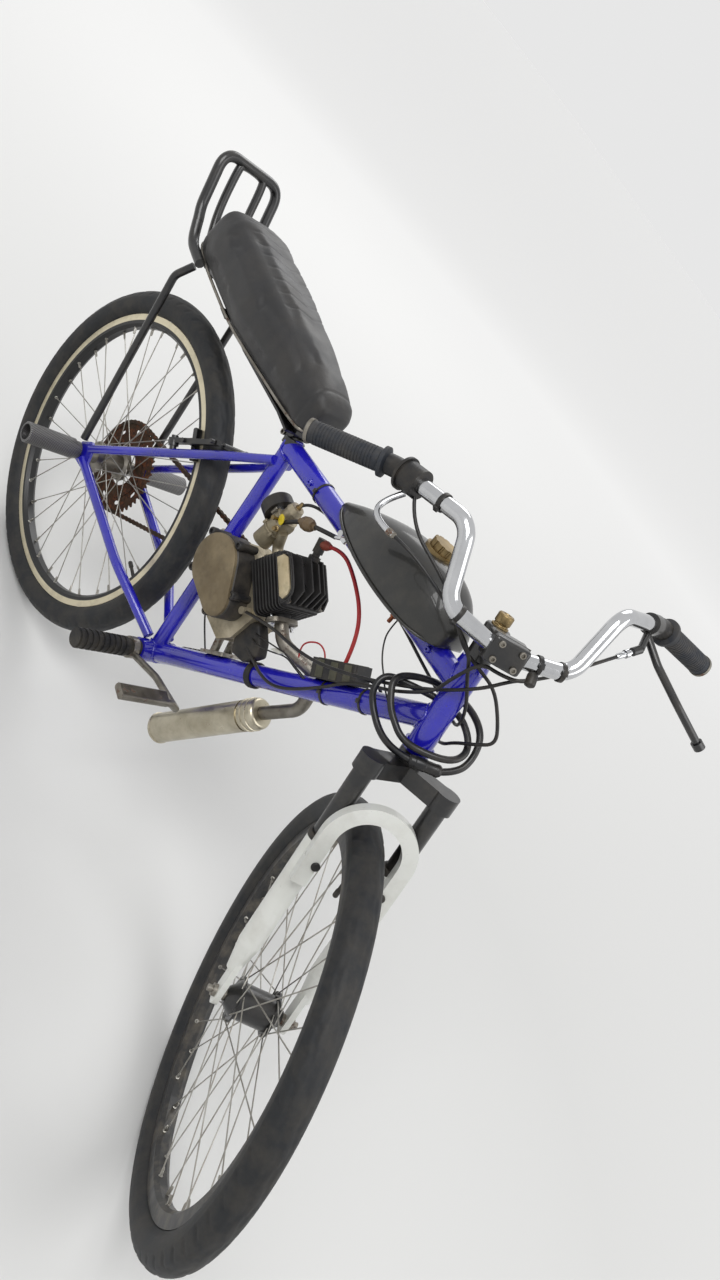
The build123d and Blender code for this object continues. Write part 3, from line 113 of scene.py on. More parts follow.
class SteeringFrame:
    """The directions of the steered assembly as it stands at rest, read from the joints."""

    def __init__(self, joints: list[dict]) -> None:
        """Work the directions out from the steering joint and the front wheel's joint.

        Args:
            joints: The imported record's joints.
        """
        found = {joint["name"]: joint for joint in joints}
        self.up = Vector(found["steering_turn"]["axis"]).normalized()
        self.left = Vector(found["front_wheel_spin"]["axis"]).normalized()
        self.forward = self.left.cross(self.up).normalized()
        self.front_axle = Vector(found["front_wheel_spin"]["pos_m"])
        self.origin = self.front_axle - self.forward * FORK_OFFSET

    def place(self, forward: float, left: float, along: float) -> Vector:
        """A place on the steered assembly.

        Args:
            forward: Millimetres ahead of the steering axis.
            left: Millimetres to the left of it.
            along: Millimetres up the axis from level with the front axle.

        Returns:
            The place in the model's frame, in metres.
        """
        return self.origin + (self.forward * forward + self.left * left + self.up * along) * 0.001

    def direction(self, forward: float, left: float, along: float) -> Vector:
        """The unit direction with those parts in the steered assembly's own directions."""
        return (self.forward * forward + self.left * left + self.up * along).normalized()


class Coordinates(Enum):
    """Where a finish reads its pattern's place from."""

    OBJECT = "Object"


class Shader:
    """A material under construction: a Principled shader with nodes added in front of it."""

    def __init__(self, name: str) -> None:
        """Start an empty material.

        Args:
            name: The material's name.
        """
        self.material = bpy.data.materials.new(name)
        self.material.use_nodes = True
        self.tree = self.material.node_tree
        self.surface = self.tree.nodes["Principled BSDF"]
        self.place = self.tree.nodes.new("ShaderNodeTexCoord").outputs[Coordinates.OBJECT.value]

    def set(self, **values: float | Sequence[float]) -> None:
        """Set the shader's own sockets, named with underscores for spaces."""
        for name, value in values.items():
            self.surface.inputs[name.replace("_", " ")].default_value = value

    def base(self, colour: Colour) -> None:
        """Set the shader's plain base colour."""
        self.surface.inputs["Base Color"].default_value = (*colour, 1.0)

    def stretch(self, scale: Triple, shift: Triple = (0.0, 0.0, 0.0)):
        """The pattern's place, scaled and shifted.

        Args:
            scale: Scale along each axis.
            shift: A shift in metres.

        Returns:
            The changed coordinates.
        """
        node = self.tree.nodes.new("ShaderNodeMapping")
        node.inputs["Scale"].default_value = scale
        node.inputs["Location"].default_value = shift
        self.tree.links.new(self.place, node.inputs["Vector"])
        return node.outputs["Vector"]

    def noise(self, scale: float, detail: float = 3.0, roughness: float = 0.5, place=None):
        """A noise pattern.

        Args:
            scale: Cells to the metre.
            detail: Octaves of finer noise.
            roughness: How strong the finer noise is.
            place: Coordinates, or None for the plain ones.

        Returns:
            The noise's grey value.
        """
        node = self.tree.nodes.new("ShaderNodeTexNoise")
        node.inputs["Scale"].default_value = scale
        node.inputs["Detail"].default_value = detail
        node.inputs["Roughness"].default_value = roughness
        self.tree.links.new(self.place if place is None else place, node.inputs["Vector"])
        return node.outputs["Fac"]

    def cells(self, scale: float):
        """The distance to the nearest of scattered points, as in grain or pores."""
        node = self.tree.nodes.new("ShaderNodeTexVoronoi")
        node.inputs["Scale"].default_value = scale
        self.tree.links.new(self.place, node.inputs["Vector"])
        return node.outputs["Distance"]

    def ramp(self, value, low: float, high: float, start: float = 0.0, stop: float = 1.0):
        """Stretch a grey value so that low becomes start and high becomes stop.

        Args:
            value: The grey value.
            low: The value that becomes start.
            high: The value that becomes stop.
            start: The result at and below low.
            stop: The result at and above high.

        Returns:
            The stretched value.
        """
        node = self.tree.nodes.new("ShaderNodeMapRange")
        for name, number in (("From Min", low), ("From Max", high), ("To Min", start), ("To Max", stop)):
            node.inputs[name].default_value = number
        self.tree.links.new(value, node.inputs["Value"])
        return node.outputs["Result"]

    def sum(self, first, second, operation: str = "MULTIPLY"):
        """Two values joined by one arithmetic operation; either may be a number."""
        node = self.tree.nodes.new("ShaderNodeMath")
        node.operation = operation
        for index, value in enumerate((first, second)):
            if isinstance(value, (int, float)):
                node.inputs[index].default_value = value
            else:
                self.tree.links.new(value, node.inputs[index])
        return node.outputs["Value"]

    def mix(self, share, first, second):
        """Blend two colours; each is a linear colour or a socket.

        Args:
            share: The share of the second colour, a socket.
            first: The first colour.
            second: The second colour.

        Returns:
            The blended colour.
        """
        node = self.tree.nodes.new("ShaderNodeMix")
        node.data_type = "RGBA"
        self.tree.links.new(share, node.inputs[0])
        for index, value in ((6, first), (7, second)):
            if isinstance(value, tuple):
                node.inputs[index].default_value = (*value, 1.0)
            else:
                self.tree.links.new(value, node.inputs[index])
        return node.outputs[2]

    def reach(self, shift: Triple, scale: Triple):
        """The distance from a place, counted along some of the axes.

        Args:
            shift: The place with its sign turned, in metres.
            scale: 1 for each axis that counts and 0 for the others.

        Returns:
            The distance in metres.
        """
        node = self.tree.nodes.new("ShaderNodeVectorMath")
        node.operation = "LENGTH"
        self.tree.links.new(self.stretch(scale, shift=shift), node.inputs[0])
        return node.outputs["Value"]

    def along(self, axis: str):
        """One coordinate of the pattern's place, in metres."""
        node = self.tree.nodes.new("ShaderNodeSeparateXYZ")
        self.tree.links.new(self.place, node.inputs["Vector"])
        return node.outputs[axis]

    def feed(self, name: str, value) -> None:
        """Link a value to one of the shader's sockets."""
        self.tree.links.new(value, self.surface.inputs[name])

    def bump(self, height, depth: float, strength: float = 1.0) -> None:
        """Raise the surface by a height pattern.

        Args:
            height: The grey height.
            depth: Metres from black to white.
            strength: Share of the effect that shows.
        """
        node = self.tree.nodes.new("ShaderNodeBump")
        node.inputs["Distance"].default_value = depth
        node.inputs["Strength"].default_value = strength
        self.tree.links.new(height, node.inputs["Height"])
        previous = self.surface.inputs["Normal"]
        if previous.is_linked:
            self.tree.links.new(previous.links[0].from_socket, node.inputs["Normal"])
        self.tree.links.new(node.outputs["Normal"], previous)


DUST = srgb(139, 128, 110)
RUST = srgb(104, 60, 34)
RUST_DARK = srgb(52, 33, 24)


@dataclass(frozen=True)
class Enamel:
    """Sprayed paint with dust in it, small chips and, under them, bare metal."""

    name: str
    colour: Colour
    shade: Colour
    roughness: float = 0.18
    coat: float = 0.6
    chips: float = 0.0
    dust: float = 0.25
    orange_peel: float = 0.00004

    def material(self) -> bpy.types.Material:
        """Make the finish's material."""
        shader = Shader(self.name)
        shader.set(Roughness=self.roughness, Coat_Weight=self.coat, Coat_Roughness=0.06, IOR=1.5)
        body = shader.mix(shader.ramp(shader.noise(9.0, 2.0), 0.35, 0.65), self.colour, self.shade)
        specks = shader.ramp(shader.noise(420.0, 2.0, 0.6), 0.74 - self.chips * 0.1, 0.76 - self.chips * 0.1)
        patches = shader.ramp(shader.noise(14.0, 3.0), 0.5, 0.62)
        chip = shader.sum(specks, patches)
        body = shader.mix(chip, body, RUST_DARK)
        film = shader.ramp(shader.noise(38.0, 6.0, 0.62), 0.45, 0.8, 0.0, self.dust)
        body = shader.mix(film, body, DUST)
        shader.feed("Base Color", body)
        shader.feed("Roughness",
            shader.ramp(shader.noise(30.0, 5.0, 0.6), 0.3, 0.75, self.roughness, self.roughness + 0.22))
        shader.bump(shader.noise(260.0, 1.0), self.orange_peel)
        shader.bump(chip, -0.00012)
        return shader.material


@dataclass(frozen=True)
class Metal:
    """Bare, plated or cast metal with a fine grain, stains and rust."""

    name: str
    colour: Colour
    shade: Colour
    roughness: float = 0.3
    spread: float = 0.15
    rust: float = 0.0
    grime: float = 0.2
    grain: float = 0.00002
    grain_scale: Triple = (600.0, 600.0, 600.0)
    metallic: float = 1.0

    def material(self) -> bpy.types.Material:
        """Make the finish's material."""
        shader = Shader(self.name)
        shader.set(Metallic=self.metallic)
        body = shader.mix(shader.ramp(shader.noise(22.0, 4.0), 0.35, 0.65), self.colour, self.shade)
        grime = shader.ramp(shader.noise(46.0, 6.0, 0.65), 0.48, 0.78, 0.0, self.grime)
        body = shader.mix(grime, body, srgb(46, 40, 33))
        rough = shader.ramp(shader.noise(60.0, 5.0, 0.6), 0.3, 0.7, self.roughness,
                            self.roughness + self.spread)
        if self.rust > 0:
            spots = shader.ramp(shader.noise(70.0, 8.0, 0.7), 0.72 - self.rust * 0.45, 0.8 - self.rust * 0.35)
            tone = shader.mix(shader.ramp(shader.noise(190.0, 4.0), 0.4, 0.6), RUST, RUST_DARK)
            body = shader.mix(spots, body, tone)
            rough = shader.sum(rough, shader.ramp(spots, 0.0, 1.0, 0.0, 0.5), "ADD")
            shader.feed("Metallic", shader.ramp(spots, 0.0, 1.0, self.metallic, 0.1))
            shader.bump(spots, 0.00015)
        shader.feed("Base Color", body)
        shader.feed("Roughness", rough)
        shader.bump(shader.noise(1.0, 3.0, 0.6, shader.stretch(self.grain_scale)), self.grain)
        return shader.material


@dataclass(frozen=True)
class Rubber:
    """Rubber or matt plastic with dust in its pores and scuffs."""

    name: str
    colour: Colour
    dust: float = 0.35
    roughness: float = 0.62
    grain: float = 0.00008
    grain_scale: float = 900.0
    sheen: float = 0.0

    def material(self) -> bpy.types.Material:
        """Make the finish's material."""
        shader = Shader(self.name)
        shader.set(Sheen_Weight=self.sheen, Specular_IOR_Level=0.4)
        film = shader.ramp(shader.noise(30.0, 7.0, 0.65), 0.4, 0.8, 0.0, self.dust)
        shader.feed("Base Color", shader.mix(film, self.colour, DUST))
        shader.feed("Roughness", shader.ramp(film, 0.0, 1.0, self.roughness, min(1.0, self.roughness + 0.3)))
        shader.bump(shader.noise(self.grain_scale, 3.0, 0.6), self.grain)
        return shader.material


@dataclass(frozen=True)
class Vinyl:
    """Black seat vinyl: fine grain, soft wrinkles and a dull shine."""

    name: str
    colour: Colour
    roughness: float = 0.42

    def material(self) -> bpy.types.Material:
        """Make the finish's material."""
        shader = Shader(self.name)
        shader.set(Specular_IOR_Level=0.5, Sheen_Weight=0.12, Sheen_Roughness=0.5)
        worn = shader.ramp(shader.noise(16.0, 5.0, 0.6), 0.4, 0.75, 0.0, 0.07)
        shader.feed("Base Color", shader.mix(worn, self.colour, DUST))
        shader.feed("Roughness",
                    shader.ramp(shader.noise(24.0, 4.0), 0.3, 0.7, self.roughness, self.roughness + 0.16))
        shader.bump(shader.cells(620.0), 0.00010, 0.8)
        shader.bump(shader.noise(60.0, 3.0, 0.5), 0.0004, 0.35)
        return shader.material


@dataclass(frozen=True)
class RimPaint:
    """A rear rim with a machined braking rim outside and black paint inside it."""

    name: str
    machined: Colour
    paint: Colour
    paint_edge: float = 0.2735

    def material(self) -> bpy.types.Material:
        """Make the finish's material."""
        shader = Shader(self.name)
        reach = shader.reach((-AXLE.x, 0.0, -AXLE.z), (1.0, 0.0, 1.0))
        outside = shader.ramp(reach, self.paint_edge, self.paint_edge + 0.0006)
        grime = shader.ramp(shader.noise(40.0, 6.0, 0.65), 0.45, 0.75, 0.0, 0.3)
        metal = shader.mix(grime, self.machined, srgb(108, 92, 66))
        shader.feed("Base Color", shader.mix(outside, self.paint, metal))
        shader.feed("Metallic", shader.ramp(outside, 0.0, 1.0, 0.0, 0.75))
        shader.set(Roughness=0.34, Specular_IOR_Level=0.5)
        rings = shader.sum(shader.sum(reach, 6000.0), 0.0, "SINE")
        shader.bump(rings, 0.00003)
        return shader.material


@dataclass(frozen=True)
class Knurl:
    """Steel cut with a diamond knurl round the rear axle's line."""

    name: str
    ridge: Colour
    valley: Colour
    teeth: float = 34.0
    pitch: float = 1500.0

    def material(self) -> bpy.types.Material:
        """Make the finish's material."""
        shader = Shader(self.name)
        parts = shader.tree.nodes.new("ShaderNodeSeparateXYZ")
        shader.tree.links.new(shader.stretch((1.0, 1.0, 1.0), shift=tuple(-AXLE)), parts.inputs["Vector"])
        around = shader.sum(shader.sum(parts.outputs["Z"], parts.outputs["X"], "ARCTAN2"), self.teeth)
        along = shader.sum(parts.outputs["Y"], self.pitch)
        one = shader.sum(shader.sum(around, along, "ADD"), 0.0, "SINE")
        other = shader.sum(shader.sum(around, along, "SUBTRACT"), 0.0, "SINE")
        diamonds = shader.ramp(shader.sum(one, other, "ADD"), -1.2, 1.2)
        shader.feed("Base Color", shader.mix(diamonds, self.valley, self.ridge))
        shader.set(Metallic=0.85, Roughness=0.38)
        shader.bump(diamonds, 0.0005)
        return shader.material


class Finishes:
    """All the finishes of the bicycle, each made once."""

    def __init__(self) -> None:
        """Make every material."""
        recipes = (
            Enamel("frame_blue", srgb(27, 23, 182), srgb(20, 17, 152), 0.13, 0.9, 0.5, 0.06),
            Enamel("black_paint", srgb(15, 15, 17), srgb(20, 20, 21), 0.26, 0.4, 0.4, 0.1),
            Enamel("tank_black", srgb(17, 17, 15), srgb(24, 24, 20), 0.3, 0.5, 0.1, 0.08),
            Enamel("fork_white", srgb(226, 227, 222), srgb(216, 217, 211), 0.25, 0.6, 0.2, 0.2),
            Vinyl("seat_vinyl", srgb(27, 27, 29)),
            Metal("bare_steel", srgb(150, 146, 138), srgb(120, 115, 106), 0.36, 0.2, 0.35, 0.4),
            Metal("rusty_steel", srgb(92, 76, 62), srgb(66, 52, 42), 0.55, 0.25, 0.7, 0.6),
            Metal("chain_steel", srgb(84, 72, 62), srgb(54, 45, 38), 0.42, 0.2, 0.5, 0.7),
            Metal("chrome", srgb(205, 206, 208), srgb(192, 193, 195), 0.07, 0.1, 0.0, 0.08, 0.000004),
            Metal("cast_alloy", srgb(182, 172, 150), srgb(150, 140, 118), 0.45, 0.2, 0.0, 0.5, 0.00012,
                  (420.0, 420.0, 420.0), 0.7),
            Metal("cylinder_black", srgb(58, 57, 57), srgb(40, 39, 39), 0.42, 0.25, 0.08, 0.4, 0.0002,
                  (380.0, 380.0, 380.0), 0.35),
            Metal("muffler_steel", srgb(196, 189, 170), srgb(170, 162, 142), 0.26, 0.16, 0.06, 0.25),
            RimPaint("rim_silver", srgb(226, 216, 188), srgb(19, 19, 20)),
            Knurl("peg_knurled", srgb(142, 142, 144), srgb(60, 56, 50)),
            Enamel("rim_black", srgb(24, 24, 25), srgb(32, 31, 30), 0.4, 0.2, 0.3, 0.4),
            Metal("spoke_steel", srgb(178, 176, 170), srgb(150, 146, 138), 0.25, 0.2, 0.1, 0.3),
            Rubber("tyre_rubber", srgb(27, 29, 32), 0.13, 0.6),
            Rubber("soft_rubber", srgb(23, 23, 25), 0.25, 0.55),
            Rubber("black_plastic", srgb(25, 25, 27), 0.2, 0.42, 0.00004, 700.0),
            Metal("brass", srgb(158, 138, 100), srgb(128, 110, 78), 0.32, 0.2, 0.0, 0.5),
            Rubber("cable_black", srgb(18, 18, 20), 0.12, 0.35, 0.00002, 500.0),
            Rubber("cover_black", srgb(31, 31, 33), 0.3, 0.45, 0.0001, 500.0),
            Metal("cover_bronze", srgb(134, 120, 94), srgb(108, 95, 72), 0.5, 0.2, 0.0, 0.4,
                                  0.00008, (500.0, 500.0, 500.0), 0.25),
            Metal("head_cream", srgb(206, 192, 160), srgb(176, 160, 126), 0.45, 0.2, 0.0, 0.55,
                                0.0001, (400.0, 400.0, 400.0), 0.4),
            Rubber("boot_red", srgb(128, 52, 36), 0.3, 0.5),
            Rubber("tag_yellow", srgb(214, 190, 36), 0.2, 0.4),
            Rubber("filter_amber", srgb(104, 84, 58), 0.3, 0.3),
            Rubber("connector_white", srgb(206, 206, 198), 0.3, 0.45),
            Metal("copper", srgb(150, 88, 60), srgb(112, 66, 46), 0.35, 0.2, 0.0, 0.5),
            Rubber("grip_rubber", srgb(38, 42, 49), 0.25, 0.6, 0.0001, 1100.0),
            Rubber("box_olive", srgb(66, 66, 52), 0.3, 0.45),
            Rubber("lock_black", srgb(24, 25, 28), 0.15, 0.3, 0.00001, 400.0),
            Rubber("lead_red", srgb(168, 28, 34), 0.15, 0.4, 0.00002, 400.0),
        )
        self.made = {recipe.name: recipe.material() for recipe in recipes}

    def __getitem__(self, name: str) -> bpy.types.Material:
        """The material of that name."""
        return self.made[name]


NODE_FINISHES = {
    "frame_blue": (
        "head_tube", "bottom_bracket", "seat_tube", "down_tube", "top_tube", "chain_stay_right",
        "chain_stay_left", "seat_stay_right", "seat_stay_left",
    ),
    "black_paint": ("seat_post", "seat_bracket", "grab_rail", "rack_struts", "fork_crown", "stem",
                    "front_hub",
                    "magneto_cover", "clutch_lever", "rear_brake"),
    "tank_black": ("fuel_tank",),
    "fork_white": ("fork_lowers",),
    "seat_vinyl": ("seat",),
    "bare_steel": ("rear_axle", "front_axle", "brake_pedal", "engine_mounts", "exhaust_pipe", "rear_hub"),
    "rusty_steel": ("rear_sprocket",),
    "chain_steel": ("drive_chain",),
    "chrome": ("handlebar", "fuel_tap"),
    "peg_knurled": ("axle_pegs",),
    "cast_alloy": ("crankcase", "intake_pipe", "carburetor"),
    "cover_black": ("clutch_cover",),
    "cylinder_black": ("cylinder", "cylinder_head"),
    "muffler_steel": ("muffler",),
    "rim_silver": ("rear_rim",),
    "rim_black": ("front_rim",),
    "spoke_steel": ("front_spokes", "rear_spokes"),
    "tyre_rubber": ("front_tyre", "rear_tyre"),
    "soft_rubber": ("foot_pegs", "grips", "spark_plug"),
    "black_plastic": ("air_filter", "ignition_box", "throttle_housing", "control_box"),
    "brass": ("fuel_cap",),
    "cable_black": ("fuel_hose", "bar_cables", "frame_cables"),
    "lock_black": ("cable_lock",),
    "lead_red": ("ignition_lead",),
}


def dress_nodes(nodes: dict[str, bpy.types.Object], finishes: Finishes) -> None:
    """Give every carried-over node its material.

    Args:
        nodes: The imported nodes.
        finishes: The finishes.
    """
    for finish, names in NODE_FINISHES.items():
        for name in names:
            node = nodes[name]
            node.data.materials.clear()
            node.data.materials.append(finishes[finish])
            log.info("node %s wears %s", name, finish)


def seen_plainly(tree: bpy.types.NodeTree):
    """Whether a ray comes from the camera, a gloss or a clear material.

    Args:
        tree: The node tree that takes the answer.

    Returns:
        A value of 1 for such a ray, else 0.
    """
    path = tree.nodes.new("ShaderNodeLightPath")
    value = path.outputs["Is Camera Ray"]
    for name in ("Is Glossy Ray", "Is Transmission Ray"):
        larger = tree.nodes.new("ShaderNodeMath")
        larger.operation = "MAXIMUM"
        tree.links.new(value, larger.inputs[0])
        tree.links.new(path.outputs[name], larger.inputs[1])
        value = larger.outputs["Value"]
    return value


@dataclass
class Studio:
    """The floor, the light and the camera."""

    camera_place: Triple = (1.17244, -1.04245, 0.50011)
    image_right: Triple = (0.334906, 0.621680, 0.708062)
    image_down: Triple = (0.836927, 0.148967, -0.526651)
    view: Triple = (-0.432886, 0.768975, -0.470412)
    focal_pixels: float = 943.73
    image_height: float = 1280.0
    sensor: float = 36.0
    floor_size: float = 120.0
    glow_from: float = 1.3
    glow_to: float = 6.0
    glow: float = 0.45
    world_light: float = 0.42
    world_pale: float = 0.8

    def build(self) -> None:
        """Make the floor, the lamps, the world and the camera."""
        self.make_floor()
        self.make_world()
        self.make_lamp("key_lamp", (0.9, -2.6, 3.2), 2.4, 105.0)
        self.make_lamp("fill_lamp", (3.4, 1.2, 2.4), 2.8, 50.0)
        self.make_lamp("back_lamp", (-2.6, 2.2, 2.8), 2.6, 60.0)
        self.make_camera()
        bpy.context.scene.view_settings.view_transform = "Standard"

    def make_floor(self) -> None:
        """Make the pale floor under the wheels."""
        bpy.ops.mesh.primitive_plane_add(size=self.floor_size, location=(0.5, 0.0, GROUND))
        floor = bpy.context.object
        floor.name = "floor"
        shader = Shader("floor_pale")
        shader.base((0.74, 0.74, 0.73))
        shader.set(Roughness=0.9, Emission_Color=(1.0, 1.0, 1.0, 1.0))
        away = shader.reach((-0.5, 0.0, 0.0), (1.0, 1.0, 0.0))
        glow = shader.ramp(away, self.glow_from, self.glow_to, 0.0, self.glow)
        shader.feed("Emission Strength", shader.sum(glow, seen_plainly(shader.tree)))
        floor.data.materials.append(shader.material)

    def make_world(self) -> None:
        """Make the plain world: soft light on the object, a paler one to the camera."""
        world = bpy.data.worlds.new("studio")
        bpy.context.scene.world = world
        world.use_nodes = True
        tree = world.node_tree
        background = tree.nodes["Background"]
        background.inputs["Color"].default_value = (1.0, 1.0, 1.0, 1.0)
        strength = tree.nodes.new("ShaderNodeMapRange")
        strength.inputs["To Min"].default_value = self.world_light
        strength.inputs["To Max"].default_value = self.world_pale
        tree.links.new(seen_plainly(tree), strength.inputs["Value"])
        tree.links.new(strength.outputs["Result"], background.inputs["Strength"])

    def make_lamp(self, name: str, place: Triple, size: float, power: float) -> None:
        """Make one soft lamp that looks at the bicycle.

        Args:
            name: The lamp's name.
            place: Where it hangs, in metres.
            size: The side of its square face.
            power: Watts.
        """
        bpy.ops.object.light_add(type="AREA", location=place)
        lamp = bpy.context.object
        lamp.name = name
        lamp.data.size = size
        lamp.data.energy = power
        target = Vector((0.45, 0.0, -0.35))
        lamp.rotation_euler = (target - Vector(place)).to_track_quat("-Z", "Y").to_euler()

    def make_camera(self) -> None:
        """Make the camera at the photograph's place and angle."""
        bpy.ops.object.camera_add()
        camera = bpy.context.object
        camera.name = "camera"
        right = Vector(self.image_right)
        upward = -Vector(self.image_down)
        backward = -Vector(self.view)
        turn = Matrix((right, upward, backward)).transposed().to_4x4()
        camera.matrix_world = Matrix.Translation(self.camera_place) @ turn
        camera.data.sensor_width = self.sensor
        camera.data.lens = self.focal_pixels * self.sensor / self.image_height
        camera.data.clip_start = 0.02
        bpy.context.scene.camera = camera


MM = 0.001
RIGHT = Vector((0.0, -1.0, 0.0))
LEFT = Vector((0.0, 1.0, 0.0))
HEAD_ANGLE = 66.7
STEERER = Vector((-math.cos(math.radians(HEAD_ANGLE)), 0.0, math.sin(math.radians(HEAD_ANGLE))))
STRAIGHT_AHEAD = LEFT.cross(STEERER)
HEAD_FOOT = Vector((0.7683, 0.0, -0.1099))
HEAD_TUBE_RADIUS = 19.0
TUBE_RADIUS = 17.5
SEAT_TUBE_RADIUS = 14.3
TOP_TARGET = Vector((0.7299, 0.0, -0.0208))
DOWN_TARGET = Vector((0.7519, 0.0, -0.0718))
CLUSTER = Vector((0.2267, 0.0, -0.1245))
BOTTOM_BRACKET = Vector((0.358, 0.0, -0.536))
TOP_DIRECTION = (TOP_TARGET - CLUSTER).normalized()
DOWN_DIRECTION = (DOWN_TARGET - BOTTOM_BRACKET).normalized()
SEAT_TUBE_DIRECTION = (CLUSTER - BOTTOM_BRACKET).normalized()
CRANK = Vector((0.4020, 0.0, -0.3090))


def row(ahead: float, left: float, up: float) -> Vector:
    """A place in the model's frame, given in millimetres."""
    return Vector((ahead, left, up)) * MM


def by_head(forward: float, left: float, above: float) -> Vector:
    """A place by the head tube, in millimetres from its foot along its own axis."""
    return HEAD_FOOT + (STRAIGHT_AHEAD * forward + LEFT * left + STEERER * above) * MM


def by_crank(ahead: float, left: float, up: float) -> Vector:
    """A place by the engine, in millimetres from the middle of its crankshaft."""
    return CRANK + Vector((ahead, left, up)) * MM


def across(direction: Vector) -> tuple[Vector, Vector]:
    """Two unit directions square to a direction and to each other."""
    first = direction.orthogonal().normalized()
    return first, direction.normalized().cross(first)


CONTROL_CABLES = {
    # control points in the row frame, from the handlebar to the frame, in millimetres
    "clutch_cable": (
        (770.4, 130.8, 163.0), (773.5, 89.0, 132.9), (777.0, 38.9, 90.9), (774.3, 2.3, 65.8),
        (769.6, -11.2, 54.5), (761.7, -31.0, 14.6), (722.4, -24.0, -51.6), (679.3, -30.0, -107.8),
        (644.0, -42.0, -148.0), (599.0, -50.0, -190.0), (552.0, -52.0, -219.0), (502.0, -50.0, -243.0),
        (453.0, -46.0, -280.2)),
    "throttle_cable": (
        (522.2, -120.8, 78.3), (519.7, -140.8, 49.8), (546.2, -150.3, 40.5), (601.7, -133.9, 58.9),
        (657.3, -104.6, 57.9), (694.5, -82.7, 51.0), (723.2, -49.7, 34.5), (738.1, -28.9, 7.7),
        (755.4, -8.4, -15.3), (768.0, 8.1, -39.3), (767.0, 28.0, -67.0), (730.0, 40.0, -72.0),
        (680.0, 34.0, -76.0), (580.0, 28.0, -80.0), (440.0, 26.0, -98.0), (380.0, 22.0, -112.0),
        (342.0, -12.0, -124.0), (340.0, -12.0, -144.7)),
    "stop_cable": (
        (535.9, -120.4, 88.0), (569.4, -126.1, 71.2), (636.3, -106.6, 69.5), (675.6, -88.2, 60.3),
        (711.0, -51.6, 29.2), (740.5, -23.8, 26.2), (762.7, -0.2, 21.6), (794.9, 10.0, 3.9),
        (820.0, 16.0, -16.0), (806.0, 14.0, -42.0), (786.0, 18.0, -72.0), (778.0, 22.0, -92.0),
        (754.1, 44.0, -112.0), (710.0, 30.0, -140.0), (675.0, 26.0, -160.0), (656.0, 14.0, -142.0),
        (640.0, 10.0, -157.0)),
    "light_cable": (
        (783.0, -13.6, 77.9), (780.9, -21.3, 66.4), (760.9, -34.8, 51.3), (739.7, -43.9, 41.6),
        (732.5, -39.2, -11.0), (732.0, -33.0, -43.6), (700.1, -31.0, -95.8), (677.4, -26.0, -122.5),
        (644.0, -26.0, -164.0), (623.0, -24.0, -216.0), (586.0, -24.0, -284.0), (553.0, -26.0, -309.0),
        (500.0, -26.0, -316.0), (462.3, -20.0, -322.0)),
}
LOCK_PLACES = (
    # forward of the head tube's axis, left, above the head tube's foot
    (47.7, 0.0, -9.8), (60.6, 20.0, -0.1), (58.3, 38.0, 24.9), (44.0, 46.0, 54.0), (6.0, 47.0, 70.0),
    (-36.0, 27.0, 74.0), (-62.0, -4.0, 67.0), (-69.0, -41.0, 56.0), (-45.9, -45.0, 26.8),
    (-31.0, -42.0, 14.0), (-6.1, -37.0, -0.7), (24.7, -26.0, 2.4), (52.0, 2.0, 10.2), (53.8, 24.0, 24.6),
    (39.0, 31.0, 42.0), (8.0, 30.3, 58.0), (-27.5, 14.2, 58.0), (-63.5, -10.0, 52.0), (-84.6, -34.0, 49.4),
    (-83.3, -46.0, 27.1), (-68.7, -43.0, 5.6), (-35.2, -42.0, -15.4), (0.3, -38.0, -18.7),
    (19.4, -28.0, -15.0),
)
TAP_SPIGOT = row(437.4, -26.0, -95.3)
HOSE_PLACES = (
    TAP_SPIGOT, TOP_TARGET - TOP_DIRECTION * 0.3319 + Vector((0.0052, -0.027, -0.0253)),
    by_crank(-22, -29, 174), by_crank(-41, -30, 149), by_crank(-52, -25, 132),
)
PLUG_OUTLET = row(412.4, 0.0, -137.6)
PLUG_DIRECTION = Vector((0.766, 0.0, 0.643))
ABOVE_TOP_TUBE = Vector((-0.2016, 0.0, 0.9795))
ABOVE_DOWN_TUBE = Vector((-0.7625, 0.0, 0.647))
LEAD_PLACES = (
    PLUG_OUTLET + PLUG_DIRECTION * 0.0133, by_crank(46, -3, 204),
    TOP_TARGET - TOP_DIRECTION * 0.2416 + LEFT * -0.008 + ABOVE_TOP_TUBE * -0.0331,
    TOP_TARGET - TOP_DIRECTION * 0.1901 + LEFT * -0.009 + ABOVE_TOP_TUBE * -0.056,
    DOWN_TARGET - DOWN_DIRECTION * 0.1582 + LEFT * -0.009 + ABOVE_DOWN_TUBE * 0.078,
    DOWN_TARGET - DOWN_DIRECTION * 0.1688 + LEFT * -0.008 + ABOVE_DOWN_TUBE * 0.048,
)
CYLINDER_AXIS = Vector((0.3420, 0.0, 0.9397))
CYLINDER_FORWARD = Vector((0.9397, 0.0, -0.3420))
HEAD_FOOT_PLACE = row(440.3, 0.0, -203.9)
PORT_FACE = row(474.6, 0.0, -256.7)
CARBURETTOR = row(340.0, -12.0, -182.0)
FILTER_PLACE = row(388.0, -28.5, -130.0)
MUFFLER_HEAD = row(569.0, 31.0, -376.0)
MUFFLER_DIRECTION = Vector((-0.3987, 0.0, -0.9171))
TANK_FOOT = row(394.9, 0.0, -89.8)
BOX_CENTRE = row(621.3, 0.0, -198.2)
HEX_SIDES = 6
BAND_SIDES = 40
CORD_STEPS = 3
MERGE_DISTANCE = 0.000002
SHARP_ANGLE = 30.0
SHELL_RADIUS = 20.0
HUB_HOLES = {"rear": 26.0, "front": 29.0}
VALVE_TURN = 5.0
NIPPLE_SIDE = 4.0


